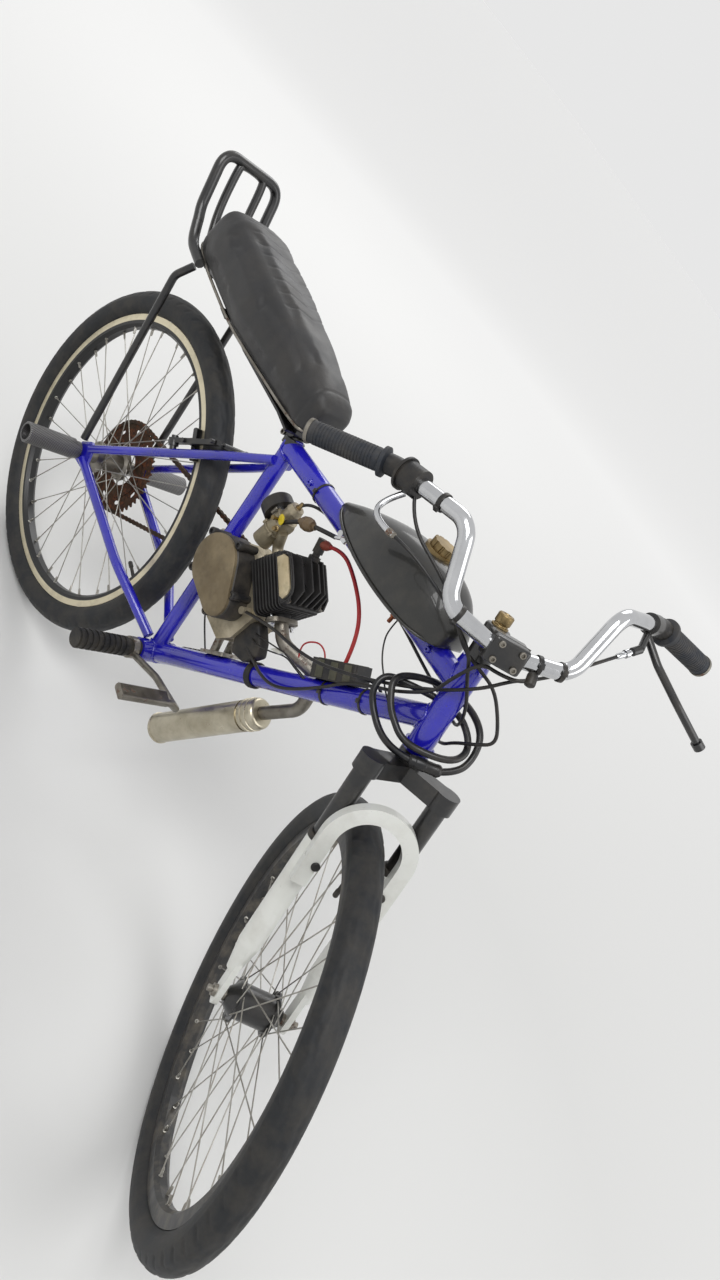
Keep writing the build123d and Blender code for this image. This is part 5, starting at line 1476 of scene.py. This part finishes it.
@dataclass
class EngineDress:
    """The engine's cast covers, screws, head ribs, fuel fittings and rubber wrap."""

    bench: Workbench
    big_circle: Triple = (-40.0, 22.0, 50.0)
    small_circle: Triple = (12.0, 3.0, 31.0)
    lugs: tuple[tuple[float, float], ...] = (
        (-93.0, 37.0), (-36.0, 76.0), (-68.0, -25.0), (27.0, 31.0), (16.0, -27.0))
    arc_points: int = 28
    cover_face: float = 71.0
    fin_side: float = 41.5

    def build(self) -> None:
        """Make the engine's pieces."""
        self.make_cover()
        self.make_head()
        self.make_exhaust_flange()
        self.make_carburettor_fittings()
        self.make_wrap()

    def pear(self, grow: float) -> list[tuple[float, float]]:
        """The outline round the cover's two circles.

        Args:
            grow: Millimetres outside the circles, less than 0 for inside.

        Returns:
            Corners beside the crankshaft's middle.
        """
        (x1, y1, r1), (x2, y2, r2) = self.big_circle, self.small_circle
        heading = math.atan2(y2 - y1, x2 - x1)
        flank = math.acos((r1 - r2) / math.hypot(x2 - x1, y2 - y1))
        corners_out = []
        for x, y, radius, start, turn in (
                (x1, y1, r1, heading + flank, 2 * (math.pi - flank)),
                (x2, y2, r2, heading - flank, 2 * flank)):
            for index in range(self.arc_points + 1):
                angle = start + turn * index / self.arc_points
                corners_out.append((x + (radius + grow) * math.cos(angle),
                                    y + (radius + grow) * math.sin(angle)))
        return corners_out

    def make_cover(self) -> None:
        """Make the clutch cover's bronze face and its five hollow screws."""
        origin = CRANK + RIGHT * self.cover_face * MM
        ahead = Vector((1.0, 0.0, 0.0))
        face = self.bench.plate("clutch_face", self.pear(-1.5), origin, ahead, RIGHT, 5.0)
        self.bench.pick(face)
        bpy.ops.object.mode_set(mode="EDIT")
        bpy.ops.mesh.select_all(action="DESELECT")
        bpy.ops.object.mode_set(mode="OBJECT")
        for polygon in face.data.polygons:
            polygon.select = polygon.center.y < origin.y - 4 * MM
        bpy.ops.object.mode_set(mode="EDIT")
        bpy.ops.mesh.inset(thickness=2.2 * MM, depth=1.1 * MM)
        bpy.ops.mesh.inset(thickness=9.0 * MM, depth=0.5 * MM)
        bpy.ops.object.mode_set(mode="OBJECT")
        self.bench.finish(face, "cover_bronze", angle=25.0)
        screws = [
            self.bench.turned("cover_screw", by_crank(x, 1.0 - self.cover_face, z), RIGHT,
                              ((7.2, -8.0), (7.2, 1.5), (6.2, 3.0), (4.6, 3.2), (3.7, 3.0), (3.4, -3.0)), 28)
            for x, z in self.lugs]
        self.bench.finish(self.bench.joined("cover_screws", screws), "cover_black")

    def make_head(self) -> None:
        """Make the pad and curved ribs on the head's side, its nuts and screws, and the plug's elbow."""
        origin = HEAD_FOOT_PLACE + RIGHT * self.fin_side * MM
        outline = ((-33.0, 1.0), (29.0, 1.0), (35.0, 7.0), (31.0, 17.0), (21.0, 23.0), (-27.0, 23.0),
                   (-34.0, 15.0))
        pad = self.bench.plate("head_pad", outline, origin, CYLINDER_FORWARD, RIGHT, 4.0)
        self.bench.finish(pad, "head_cream", bevel=1.2)
        ribs = []
        for out in (1.0, 4.6):
            places = [
                origin + (CYLINDER_FORWARD * x + CYLINDER_AXIS * z + RIGHT * 0.6) * MM
                for x, z in ((-34 - out, 1), (-34.5 - out, 15 + out * 0.4), (-29 - out * 0.4, 24.5 + out),
                             (0, 25 + out), (23 + out * 0.4, 24.5 + out), (33.5 + out, 16 + out * 0.4),
                             (35 + out, 1))]
            ribs.append(self.bench.cord("head_rib", places, 1.3))
        self.bench.finish(self.bench.joined("head_ribs", ribs), "cylinder_black", angle=60.0)
        nuts = []
        for forward in (-25.0, 25.0):
            for side in (-20.0, 20.0):
                foot = HEAD_FOOT_PLACE + (CYLINDER_FORWARD * forward + LEFT * side + CYLINDER_AXIS * 9) * MM
                nuts.append(self.bench.turned("head_nut", foot, CYLINDER_AXIS,
                                              ((6.6, -1.0), (6.6, 9.0), (5.6, 10.0), (4.0, 10.0)), HEX_SIDES))
                nuts.append(self.bench.turned("head_stud", foot, CYLINDER_AXIS,
                                              ((3.9, 8.0), (3.9, 15.0), (3.2, 16.0)), 16))
        self.bench.finish(self.bench.joined("head_nuts", nuts), "bare_steel")
        base_studs = []
        for forward in (-37.0, 37.0):
            for side in (-37.0, 37.0):
                foot = HEAD_FOOT_PLACE + (CYLINDER_FORWARD * forward + LEFT * side) * MM
                base_studs.append(self.bench.turned("head_screw", foot, CYLINDER_AXIS,
                    ((4.6, 7.0), (4.6, 13.0), (4.0, 14.0), (2.4, 14.0), (2.2, 11.0)), 20))
        self.bench.finish(self.bench.joined("head_screws", base_studs), "bare_steel")
        boot = self.bench.turned("plug_elbow", PLUG_OUTLET, PLUG_DIRECTION, (
            (7.2, 3.0), (7.8, 4.0), (7.8, 12.0), (6.6, 15.0), (4.4, 20.0), (4.0, 21.0)), 28)
        self.bench.finish(boot, "boot_red")

    def make_exhaust_flange(self) -> None:
        """Make the flange that holds the exhaust pipe to the port, with its studs and nuts."""
        outline = []
        for sign in (1, -1):
            outline += [(sign * (22 + 9 * math.cos(math.radians(angle))),
                         sign * 9 * math.sin(math.radians(angle)))
                        for angle in range(-65, 80, 20)]
            outline += [(sign * 15 * math.cos(math.radians(angle)), sign * 15 * math.sin(math.radians(angle)))
                        for angle in range(70, 120, 20)]
        flange = self.bench.plate("exhaust_flange", outline, PORT_FACE - CYLINDER_FORWARD * 1.0 * MM, LEFT,
                                  CYLINDER_FORWARD, 5.0)
        self.bench.finish(flange, "bare_steel", bevel=0.8)
        nuts = []
        for side in (-22.0, 22.0):
            foot = PORT_FACE + LEFT * side * MM
            nuts.append(self.bench.turned("exhaust_nut", foot, CYLINDER_FORWARD,
                                          ((6.2, 3.0), (6.2, 9.0), (5.2, 10.0)), HEX_SIDES))
            nuts.append(self.bench.turned("exhaust_stud", foot, CYLINDER_FORWARD,
                                          ((3.0, -12.0), (3.0, 15.0), (2.4, 16.0)), 16))
        self.bench.finish(self.bench.joined("exhaust_nuts", nuts), "chrome")

    def make_carburettor_fittings(self) -> None:
        """Make the clamp, screws, cap, tag and fuel filter round the carburettor."""
        back = Vector((-1.0, 0.0, 0.0))
        up = Vector((0.0, 0.0, 1.0))
        clamp_place = CARBURETTOR + Vector((-0.0140, 0.0, 0.002))
        clamp = self.bench.band("filter_clamp", clamp_place, back, 15.4, 8.0, 1.4)
        self.bench.finish(clamp, "chrome")
        screw = self.bench.turned("clamp_screw", CARBURETTOR + row(-14, -17, 6), up,
                                  ((3.4, -6.0), (3.4, 6.0), (2.6, 7.0)), 16)
        self.bench.finish(screw, "bare_steel")
        brass = [
            self.bench.turned("idle_screw", CARBURETTOR + row(6, -14, 8), RIGHT,
                ((4.2, 0.0), (4.2, 5.0), (2.4, 5.4), (2.4, 14.0), (3.8, 14.5), (3.8, 18.0)), 20),
            self.bench.turned("fuel_barb", CARBURETTOR + row(12, -12, -6), Vector((0.35, -0.9, 0.2)),
                              ((5.4, 0.0), (5.4, 5.0), (3.2, 6.0), (3.2, 14.0)), HEX_SIDES),
            self.bench.turned("bowl_plug", CARBURETTOR + row(0, 0, -50), -up,
                              ((6.4, -1.0), (6.4, 5.0), (5.4, 6.0)), HEX_SIDES),
            self.bench.turned("cable_adjuster", CARBURETTOR + row(0, 0, 36), up,
                              ((5.0, -2.0), (5.0, 4.0), (3.6, 4.5), (3.6, 11.0), (3.0, 12.0)), HEX_SIDES),
        ]
        self.bench.finish(self.bench.joined("carburettor_brass", brass), "brass")
        rings = [self.bench.turned("bowl_rim", CARBURETTOR + row(0, 0, height), up,
                                   ((17.0, -2.2), (19.2, -1.6), (19.2, 1.6), (17.0, 2.2)), 40)
                 for height in (-20.0, 12.0)]
        for angle in range(45, 405, 90):
            place = CARBURETTOR + row(18.5 * math.cos(math.radians(angle)),
                                      18.5 * math.sin(math.radians(angle)), -20)
            profile = ((3.0, -4.0), (3.0, 4.0), (2.4, 4.6))
            rings.append(self.bench.turned("bowl_screw", place, up, profile, 12))
        self.bench.finish(self.bench.joined("carburettor_rims", rings), "cast_alloy", bevel=0.4)
        outline = [(9 * math.cos(math.radians(30 * step)),
                    6 * math.sin(math.radians(30 * step))) for step in range(12)]
        tag = self.bench.plate("choke_tab", outline, row(352.0, -32.5, -168.0), Vector((0.8, 0.0, -0.6)),
                               RIGHT, 1.6)
        self.bench.finish(tag, "tag_yellow", bevel=0.4)
        hose_way = Vector((-0.82, -0.05, -0.57))
        body = self.bench.turned("fuel_filter", FILTER_PLACE, hose_way, (
            (4.6, -17.0), (4.6, -12.0), (8.0, -11.0), (10.5, -7.0), (11.0, -2.0), (11.4, -1.5), (11.4, 1.5),
            (11.0, 2.0), (10.5, 7.0), (8.0, 11.0), (4.6, 12.0), (4.6, 17.0)), 32)
        self.bench.finish(body, "filter_amber")

    def make_wrap(self) -> None:
        """Make the rubber wrapped round the front mount and the wires beside it."""
        outline = ((446.0, -326.0), (457.0, -292.0), (470.0, -281.0), (498.0, -291.0), (516.0, -306.0),
                   (505.0, -338.0), (478.0, -352.0))
        wrap = self.bench.plate("mount_wrap", outline, Vector((0.0, -0.002, 0.0)), Vector((1.0, 0.0, 0.0)),
                                RIGHT, 24.0)
        self.bench.soften(wrap, 5.0, 3)
        self.bench.finish(wrap, "soft_rubber", angle=50.0)
        red = self.bench.cord("red_wire",
            [at(611, -8, 268), at(602, -14, 282), at(604, -16, 300), at(618, -12, 318), at(640, -8, 315),
             at(655, -8, 300)], 1.3)
        self.bench.finish(red, "lead_red", angle=60.0)
        wires = [
            self.bench.cord("engine_wire",
                [at(534, -22, 214), at(556, -34, 232), at(585, -30, 250), at(600, -22, 258),
                 at(622, -18, 262), at(650, -14, 270)], 1.2),
            self.bench.cord("engine_wire",
                [at(536, -20, 206), at(560, -36, 218), at(588, -32, 240), at(602, -18, 254),
                 at(624, -14, 258), at(650, -12, 266)], 1.2)]
        self.bench.finish(self.bench.joined("engine_wires", wires), "cable_black", angle=60.0)
        plug = self.bench.block("wire_connector", at(592, -27, 249),
                                (Vector((0.8, 0.25, 0.5)).normalized(), LEFT, CYLINDER_AXIS), (9.0, 4.0, 4.0))
        self.bench.finish(plug, "connector_white", bevel=1.2)


@dataclass
class FrameDress:
    """Weld beads, cable bosses, ties, a strap, bolts and thin wires on the frame."""

    bench: Workbench
    bead: float = 2.6
    bead_points: int = 44

    def weld(self, axis_place: Vector, axis: Vector, radius: float, place: Vector, branch: Vector,
             branch_radius: float) -> bpy.types.Object:
        """Lay a rippled bead where one tube meets another.

        Args:
            axis_place: A place on the main tube's axis.
            axis: The main tube's direction.
            radius: The main tube's radius.
            place: Where the branch's axis meets it.
            branch: The branch's direction away from the main tube.
            branch_radius: The branch's radius.

        Returns:
            The bead.
        """
        axis, branch = axis.normalized(), branch.normalized()
        first, second = across(branch)
        places = []
        for index in range(self.bead_points):
            angle = 2 * math.pi * index / self.bead_points
            start = place + (first * math.cos(angle) + second * math.sin(angle)) * (branch_radius + 0.4) * MM
            arm = start - axis_place
            arm -= axis * arm.dot(axis)
            slope = branch - axis * branch.dot(axis)
            a, b, c = slope.dot(slope), arm.dot(slope), arm.dot(arm) - ((radius + 0.3) * MM) ** 2
            reach = (-b + math.sqrt(max(b * b - a * c, 0.0))) / a
            places.append(start + branch * reach)
        return self.bench.cord("weld", places, self.bead, closed=True, beads=0.3, resolution=4)

    def build(self) -> None:
        """Make the frame's beads and small pieces."""
        beads = [
            self.weld(HEAD_FOOT, STEERER, HEAD_TUBE_RADIUS, TOP_TARGET, -TOP_DIRECTION, TUBE_RADIUS),
            self.weld(HEAD_FOOT, STEERER, HEAD_TUBE_RADIUS, DOWN_TARGET, -DOWN_DIRECTION, TUBE_RADIUS),
            self.weld(BOTTOM_BRACKET, SEAT_TUBE_DIRECTION, SEAT_TUBE_RADIUS, CLUSTER, TOP_DIRECTION,
                      TUBE_RADIUS),
            self.weld(BOTTOM_BRACKET, LEFT, SHELL_RADIUS, BOTTOM_BRACKET, DOWN_DIRECTION, TUBE_RADIUS),
            self.weld(BOTTOM_BRACKET, LEFT, SHELL_RADIUS, BOTTOM_BRACKET, SEAT_TUBE_DIRECTION,
                      SEAT_TUBE_RADIUS),
        ]
        self.bench.finish(self.bench.joined("weld_beads", beads), "frame_blue", angle=60.0)
        self.make_straps()
        self.make_small_parts()

    def make_straps(self) -> None:
        """Make the rubber strap and the ties round the tubes."""
        strap = self.bench.band("rubber_strap", BOTTOM_BRACKET + DOWN_DIRECTION * 0.2567, DOWN_DIRECTION,
                                17.7, 12.0, 3.4)
        self.bench.finish(strap, "soft_rubber", bevel=1.2)
        ties = []
        for place, direction in (
                (BOTTOM_BRACKET + DOWN_DIRECTION * 0.4113, DOWN_DIRECTION),
                (BOTTOM_BRACKET + DOWN_DIRECTION * 0.486, DOWN_DIRECTION),
                (CLUSTER + TOP_DIRECTION * 0.246, TOP_DIRECTION),
                (CLUSTER + TOP_DIRECTION * 0.118, TOP_DIRECTION)):
            ties.append(self.bench.band("tie", place, direction, 17.6, 4.0, 1.3))
            latch = self.bench.block("tie_latch", place + RIGHT * 20.3 * MM,
                                     (direction, RIGHT, direction.cross(RIGHT)), (2.8, 2.2, 3.4))
            ties.append(latch)
        self.bench.finish(self.bench.joined("cable_ties", ties), "black_plastic", bevel=0.3)

    def make_small_parts(self) -> None:
        """Make the bosses, the copper bolt, the seat clamp's bolt and the thin wires."""
        bosses = [
            self.bench.turned("cable_boss", CLUSTER + TOP_DIRECTION * along + RIGHT * 16.5 * MM, RIGHT,
                              ((6.0, 0.0), (4.6, 1.8), (4.4, 5.0), (3.6, 5.8), (1.8, 5.8), (1.7, 2.5)), 24)
            for along in (0.098, 0.452)]
        self.bench.finish(self.bench.joined("cable_bosses", bosses), "frame_blue")
        bolt = self.bench.turned(
            "tank_bolts", CLUSTER + TOP_DIRECTION * 0.366 - ABOVE_TOP_TUBE * 0.017 + RIGHT * 0.004,
            -ABOVE_TOP_TUBE, ((5.4, -2.0), (5.4, 4.0), (3.4, 4.4), (3.4, 13.0), (2.6, 14.0)), HEX_SIDES)
        self.bench.finish(bolt, "copper")
        clamp = self.bench.turned("seat_tube_collar", CLUSTER + SEAT_TUBE_DIRECTION * 0.007,
                                  SEAT_TUBE_DIRECTION, (
            (15.5, -6.0), (18.2, -5.0), (18.2, 8.0), (15.5, 9.0)), 40)
        self.bench.finish(clamp, "black_paint", bevel=0.6)
        pinch = self.bench.turned("collar_bolt",
            CLUSTER + SEAT_TUBE_DIRECTION * 0.009 + Vector((-0.020, 0.016, -0.002)), RIGHT, (
            (3.0, -1.0), (3.0, 26.0), (5.0, 26.0), (5.0, 31.0), (3.0, 31.2), (2.4, 28.0)), 20)
        self.bench.finish(pinch, "bare_steel")
        rods = [
            self.bench.cord("thin_rod",
                [by_crank(-30, -26, -55), by_crank(-22, -24, -66), at(462, -20, 120), at(500, -18, 104)],
                1.5),
            self.bench.cord("thin_wire",
                [at(661, -9, 450), at(668, -14, 432), at(682, -20, 421), at(704, -24, 410),
                 at(728, -26, 404), at(748, -25, 396), at(770, -22, 392)], 1.2),
        ]
        self.bench.finish(self.bench.joined("thin_wires", rods), "cable_black", angle=60.0)


@dataclass
class CockpitDress:
    """Ribbed grips, the cable elbow, the ties and the switch pod on the handlebar."""

    bench: Workbench
    steering: SteeringFrame
    bar_end: Triple = (-113.0, 329.0, 723.0)
    bar_bend: Triple = (-60.0, 212.0, 746.0)
    ridges: int = 20
    first_ridge: float = 10.0
    ridge_pitch: float = 4.6

    def build(self) -> None:
        """Make the handlebar's pieces."""
        grips, rings, necks = [], [], []
        for sign in (-1, 1):
            end = self.steering.place(self.bar_end[0], sign * self.bar_end[1], self.bar_end[2])
            bend = self.steering.place(self.bar_bend[0], sign * self.bar_bend[1], self.bar_bend[2])
            inward = (bend - end).normalized()
            profile = [(9.0, -2.0), (13.5, -1.6), (15.6, 0.0), (15.6, 7.0)]
            for ridge in range(self.ridges):
                start = self.first_ridge + ridge * self.ridge_pitch
                profile += [(15.0, start), (15.0, start + 1.4), (15.8, start + 1.9), (15.8, start + 4.2)]
            profile += [(15.2, 106.0), (20.5, 109.0), (20.5, 114.0), (15.0, 116.5), (11.6, 117.0)]
            grips.append(self.bench.turned("grip", end, inward, profile, 36))
            rings.append(self.bench.band("grip_ring", end + inward * 3.0 * MM, inward, 15.7, 5.0, 1.0))
            lead = self.steering.place(33.0, sign * 116.0, 743.0)
            way = (lead - bend).normalized()
            necks.append(self.bench.cord("neck", [
                bend - inward * 15.0 * MM, bend - inward * 5.0 * MM, bend + way * 6.0 * MM,
                bend + way * 19.0 * MM], 14.2))
        self.bench.finish(self.bench.joined("ribbed_grips", grips), "grip_rubber", "steering",
                          replaces=("grips",))
        self.bench.finish(self.bench.joined("grip_rings", rings), "bare_steel", "steering")
        self.bench.finish(self.bench.joined("grip_necks", necks), "black_plastic", "steering", angle=50.0)
        self.make_housing()
        self.make_bar_ties()

    def make_housing(self) -> None:
        """Make the throttle cable's chrome elbow and the lever's adjuster."""
        route = [row(*place) for place in CONTROL_CABLES["throttle_cable"][:4]]
        elbow = self.bench.cord("cable_elbow", [*route[:3], (route[2] + route[3]) / 2], 4.2)
        self.bench.finish(elbow, "chrome", "steering", angle=60.0)
        way = (route[3] - route[2]).normalized()
        nut = self.bench.turned("elbow_nut", (route[2] + route[3]) / 2, way,
                                ((5.4, -9.0), (5.4, -3.0), (4.6, -2.4), (4.6, 3.0), (3.2, 4.0)), HEX_SIDES)
        self.bench.finish(nut, "bare_steel", "steering")
        start = row(*CONTROL_CABLES["clutch_cable"][0])
        way = (row(*CONTROL_CABLES["clutch_cable"][1]) - start).normalized()
        adjuster = self.bench.turned("lever_adjuster", start, way, (
            (3.4, -4.0), (3.4, 6.0), (6.0, 6.4), (6.0, 12.0), (4.2, 12.6), (4.2, 24.0), (3.2, 26.0)), 20)
        self.bench.finish(adjuster, "chrome", "steering")

    def make_bar_ties(self) -> None:
        """Make the ties that hold the cables to the bar, and the pod where the thin lead ends."""
        ties = []
        for near, far, share in (
                ((66, -19, 634), (58, -92, 648), 0.75), ((66, 19, 634), (58, 92, 648), 0.82),
                ((66, 19, 634), (58, 92, 648), 0.38), ((33, -116, 743), (-60, -212, 746), 0.35)):
            start, end = self.steering.place(*near), self.steering.place(*far)
            way = (end - start).normalized()
            middle = start.lerp(end, share)
            ties.append(self.bench.band("bar_tie", middle, way, 11.3, 6.0, 1.6))
            outward = across(way)[0]
            latch = self.bench.block("bar_latch", middle + outward * 13.6 * MM,
                                     (way, outward, way.cross(outward)), (3.2, 2.0, 4.0))
            ties.append(latch)
        self.bench.finish(self.bench.joined("bar_ties", ties), "black_plastic", "steering", bevel=0.3)
        foot = self.steering.place(78, 46, 618)
        pod = self.bench.turned("switch_pod", foot, self.steering.direction(-13, 0, 17), (
            (3.2, -5.0), (6.8, -3.0), (7.2, 0.0), (7.2, 10.0), (6.0, 14.0)), 28)
        self.bench.finish(pod, "black_plastic", "steering", bevel=0.6)


def smooth_station(stations: Sequence[tuple[float, ...]], index: int, share: float) -> tuple[float, ...]:
    """A station between two of a list, on a smooth curve through all of them.

    Args:
        stations: The stations.
        index: The one before it.
        share: How far it is towards the next one, from 0 to 1.

    Returns:
        The station's numbers.
    """
    last = len(stations) - 1
    four = [stations[min(max(index + step, 0), last)] for step in (-1, 0, 1, 2)]
    return tuple(
        0.5 * (2 * b + (c - a) * share + (2 * a - 5 * b + 4 * c - d) * share**2
               + (3 * b - a - 3 * c + d) * share**3)
        for a, b, c, d in zip(*four))


@dataclass
class BodyDress:
    """The tank with its lip, the muffler's rings, the ignition box's ribs, the rail and the fork's seals."""

    bench: Workbench
    steering: SteeringFrame
    tank_sections: tuple[Triple, ...] = (
        # along from the tank's tail, half width, foot
        (1.0, 14.0, 17.0), (46.0, 37.0, 8.0), (120.0, 57.0, 4.5), (190.0, 62.0, 3.5), (250.0, 55.0, 5.5),
        (287.0, 35.0, 13.0))
    tank_shape: tuple[tuple[float, float, float, float], ...] = (
        # along from the tank's tail, half width, foot and top above the top tube's axis
        (0.0, 13.0, 18.0, 28.0), (46.0, 36.0, 9.0, 52.0), (120.0, 56.0, 5.0, 80.0), (190.0, 61.0, 4.0, 91.0),
        (250.0, 54.0, 6.0, 82.0), (288.0, 34.0, 14.0, 52.0))
    tank_points: int = 48
    tank_steps: int = 8
    side_power: float = 0.86
    crown_power: float = 0.8
    muffler_radius: float = 26.0
    muffler_length: float = 255.0
    leg_ahead: float = 41.0
    leg_side: float = 57.0
    seal_along: float = 288.0

    def build(self) -> None:
        """Make the pieces."""
        self.make_tank()
        self.make_tank_lip()
        self.make_muffler_rings()
        self.make_box_ribs()
        self.make_fork_seals()
        self.make_rail()

    def make_tank(self) -> None:
        """Loft the tank's pressed shell through its sections and round off its ends."""
        stations = [self.tank_shape[0]]
        for index in range(len(self.tank_shape) - 1):
            for step in range(1, self.tank_steps + 1):
                stations.append(smooth_station(self.tank_shape, index, step / self.tank_steps))
        tail, nose = stations[0], stations[-1]
        stations = [(tail[0] - 3, tail[1] * 0.6, tail[2] + 2, tail[3] - 3), *stations,
                    (nose[0] + 4, nose[1] * 0.9, nose[2] + 1, nose[3] - 4),
                    (nose[0] + 7, nose[1] * 0.6, nose[2] + 6, nose[3] - 10),
                    (nose[0] + 8, nose[1] * 0.2, nose[2] + 14, nose[3] - 18)]
        rings = []
        for along, half, foot, top in stations:
            ring = []
            for index in range(self.tank_points + 1):
                angle = math.pi * index / self.tank_points
                side = math.copysign(abs(math.cos(angle)) ** self.side_power, math.cos(angle)) * half
                rise = foot + (top - foot) * math.sin(angle) ** self.crown_power
                ring.append(TANK_FOOT + (TOP_DIRECTION * along + LEFT * side + ABOVE_TOP_TUBE * rise) * MM)
            rings.append(ring)
        tank = self.bench.loft("tank_shell", rings)
        self.bench.finish(tank, "tank_black", angle=50.0, replaces=("fuel_tank",))

    def make_tank_lip(self) -> None:
        """Run the welded lip round the tank's lower edge."""
        places = []
        for sign, sections in ((1, self.tank_sections), (-1, self.tank_sections[::-1])):
            for along, half, foot in sections:
                offset = TOP_DIRECTION * along + LEFT * sign * (half + 2.5) + ABOVE_TOP_TUBE * (foot + 1.0)
                places.append(TANK_FOOT + offset * MM)
        lip = self.bench.cord("tank_lip", places, 2.4, closed=True, resolution=12)
        self.bench.finish(lip, "tank_black", angle=60.0)

    def make_muffler_rings(self) -> None:
        """Make the muffler's rolled rings and its tail pipe."""
        rings = [
            self.bench.turned("muffler_ring", MUFFLER_HEAD + MUFFLER_DIRECTION * along * MM,
                              MUFFLER_DIRECTION,
                              ((self.muffler_radius - 1, -2.4), (self.muffler_radius + 1.4, -1.2),
                               (self.muffler_radius + 1.4, 1.2), (self.muffler_radius - 1, 2.4)), 56)
            for along in (16.0, 27.0, self.muffler_length - 8.0)]
        self.bench.finish(self.bench.joined("muffler_rings", rings), "muffler_steel")
        tail = self.bench.turned("tail_pipe", MUFFLER_HEAD + MUFFLER_DIRECTION * self.muffler_length * MM,
                                 MUFFLER_DIRECTION, (
            (12.0, -3.0), (10.0, 0.0), (9.0, 1.0), (9.0, 12.0), (7.6, 12.0), (7.6, 2.0)), 32)
        self.bench.finish(tail, "bare_steel")

    def make_box_ribs(self) -> None:
        """Make the ignition box's raised ribs."""
        axes = (DOWN_DIRECTION, LEFT, ABOVE_DOWN_TUBE)
        ribs = [self.bench.block("box_rib",
            BOX_CENTRE + (DOWN_DIRECTION * along + ABOVE_DOWN_TUBE * 29.6) * MM, axes, (7.0, 18.5, 1.2))
                for along in (-24.0, 3.0, 29.0)]
        ribs += [self.bench.block("box_rib",
            BOX_CENTRE + (DOWN_DIRECTION * along + RIGHT * 19.8 + ABOVE_DOWN_TUBE * 15.0) * MM, axes,
            (7.0, 1.0, 13.0))
                 for along in (-24.0, 3.0, 29.0)]
        self.bench.finish(self.bench.joined("box_ribs", ribs), "box_olive", bevel=0.6)

    def make_rail(self) -> None:
        """Bend the grab rail's outer hoop and the inner one that stands inside it."""
        outer = ((-94, 69, 399.5), (-113, 69, 399.5), (-150, 68, 400), (-178, 67, 425), (-180, 67, 428),
                 (-199, 67, 444), (-210, 67, 464), (-216, 67, 476), (-246, 67, 532), (-246, 3, 532))
        inner = ((-96, 30, 394), (-150, 30, 394), (-203, 30, 444), (-240, 30, 520), (-246, 24, 530))
        hoops = []
        for side, radius in ((outer, 9.5), (inner, 7.5)):
            places = [at(*place) for place in side] + [at(x, -y, z) for x, y, z in side[::-1]]
            hoops.append(self.bench.cord("rail_hoop", places, radius, resolution=12))
        self.bench.finish(self.bench.joined("rail_hoops", hoops), "black_paint", angle=60.0,
                          replaces=("grab_rail",))

    def make_fork_seals(self) -> None:
        """Make the wiper seals and the brake studs on the fork."""
        seals, studs = [], []
        for sign in (-1, 1):
            place = self.steering.place(self.leg_ahead, sign * self.leg_side, self.seal_along)
            seals.append(self.bench.band("fork_seal", place, self.steering.up, 14.7, 9.0, 3.6))
            foot = self.steering.place(self.leg_ahead + 12, sign * 50, 262)
            studs.append(self.bench.turned("brake_stud", foot, self.steering.forward, (
                (7.5, 0.0), (7.5, 8.0), (5.0, 8.6), (5.0, 20.0), (6.4, 20.4), (6.4, 23.0), (5.4, 24.0)), 28))
        self.bench.finish(self.bench.joined("fork_seals", seals), "soft_rubber", "steering", bevel=0.8)
        self.bench.finish(self.bench.joined("brake_studs", studs), "black_plastic", "steering", bevel=0.4)


def main() -> None:
    """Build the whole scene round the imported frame."""
    logging.basicConfig(level=logging.INFO, format="%(message)s")
    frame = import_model()
    finishes = Finishes()
    Studio().build()
    dress_nodes(frame["nodes"], finishes)
    bench = Workbench(finishes)
    steering = SteeringFrame(frame["joints"])
    CableDress(bench, steering).build()
    SeatDress(bench).build()
    StemDress(bench, steering).build()
    EngineDress(bench).build()
    FrameDress(bench).build()
    CockpitDress(bench, steering).build()
    BodyDress(bench, steering).build()
    tyres = TyreDress(bench)
    trims = WheelTrim(bench)
    tyres.build("rear_slick", "rear_tyre", AXLE, LEFT, "rear_wheel")
    trims.build("rear", AXLE, Vector((1.0, 0.0, 0.0)), LEFT, HUB_HOLES["rear"], "rear_wheel")
    tyres.build("front_slick", "front_tyre", steering.front_axle, steering.left, "front_wheel")
    trims.build("front", steering.front_axle, steering.up, steering.left, HUB_HOLES["front"], "front_wheel")


if __name__ == "__main__":
    main()
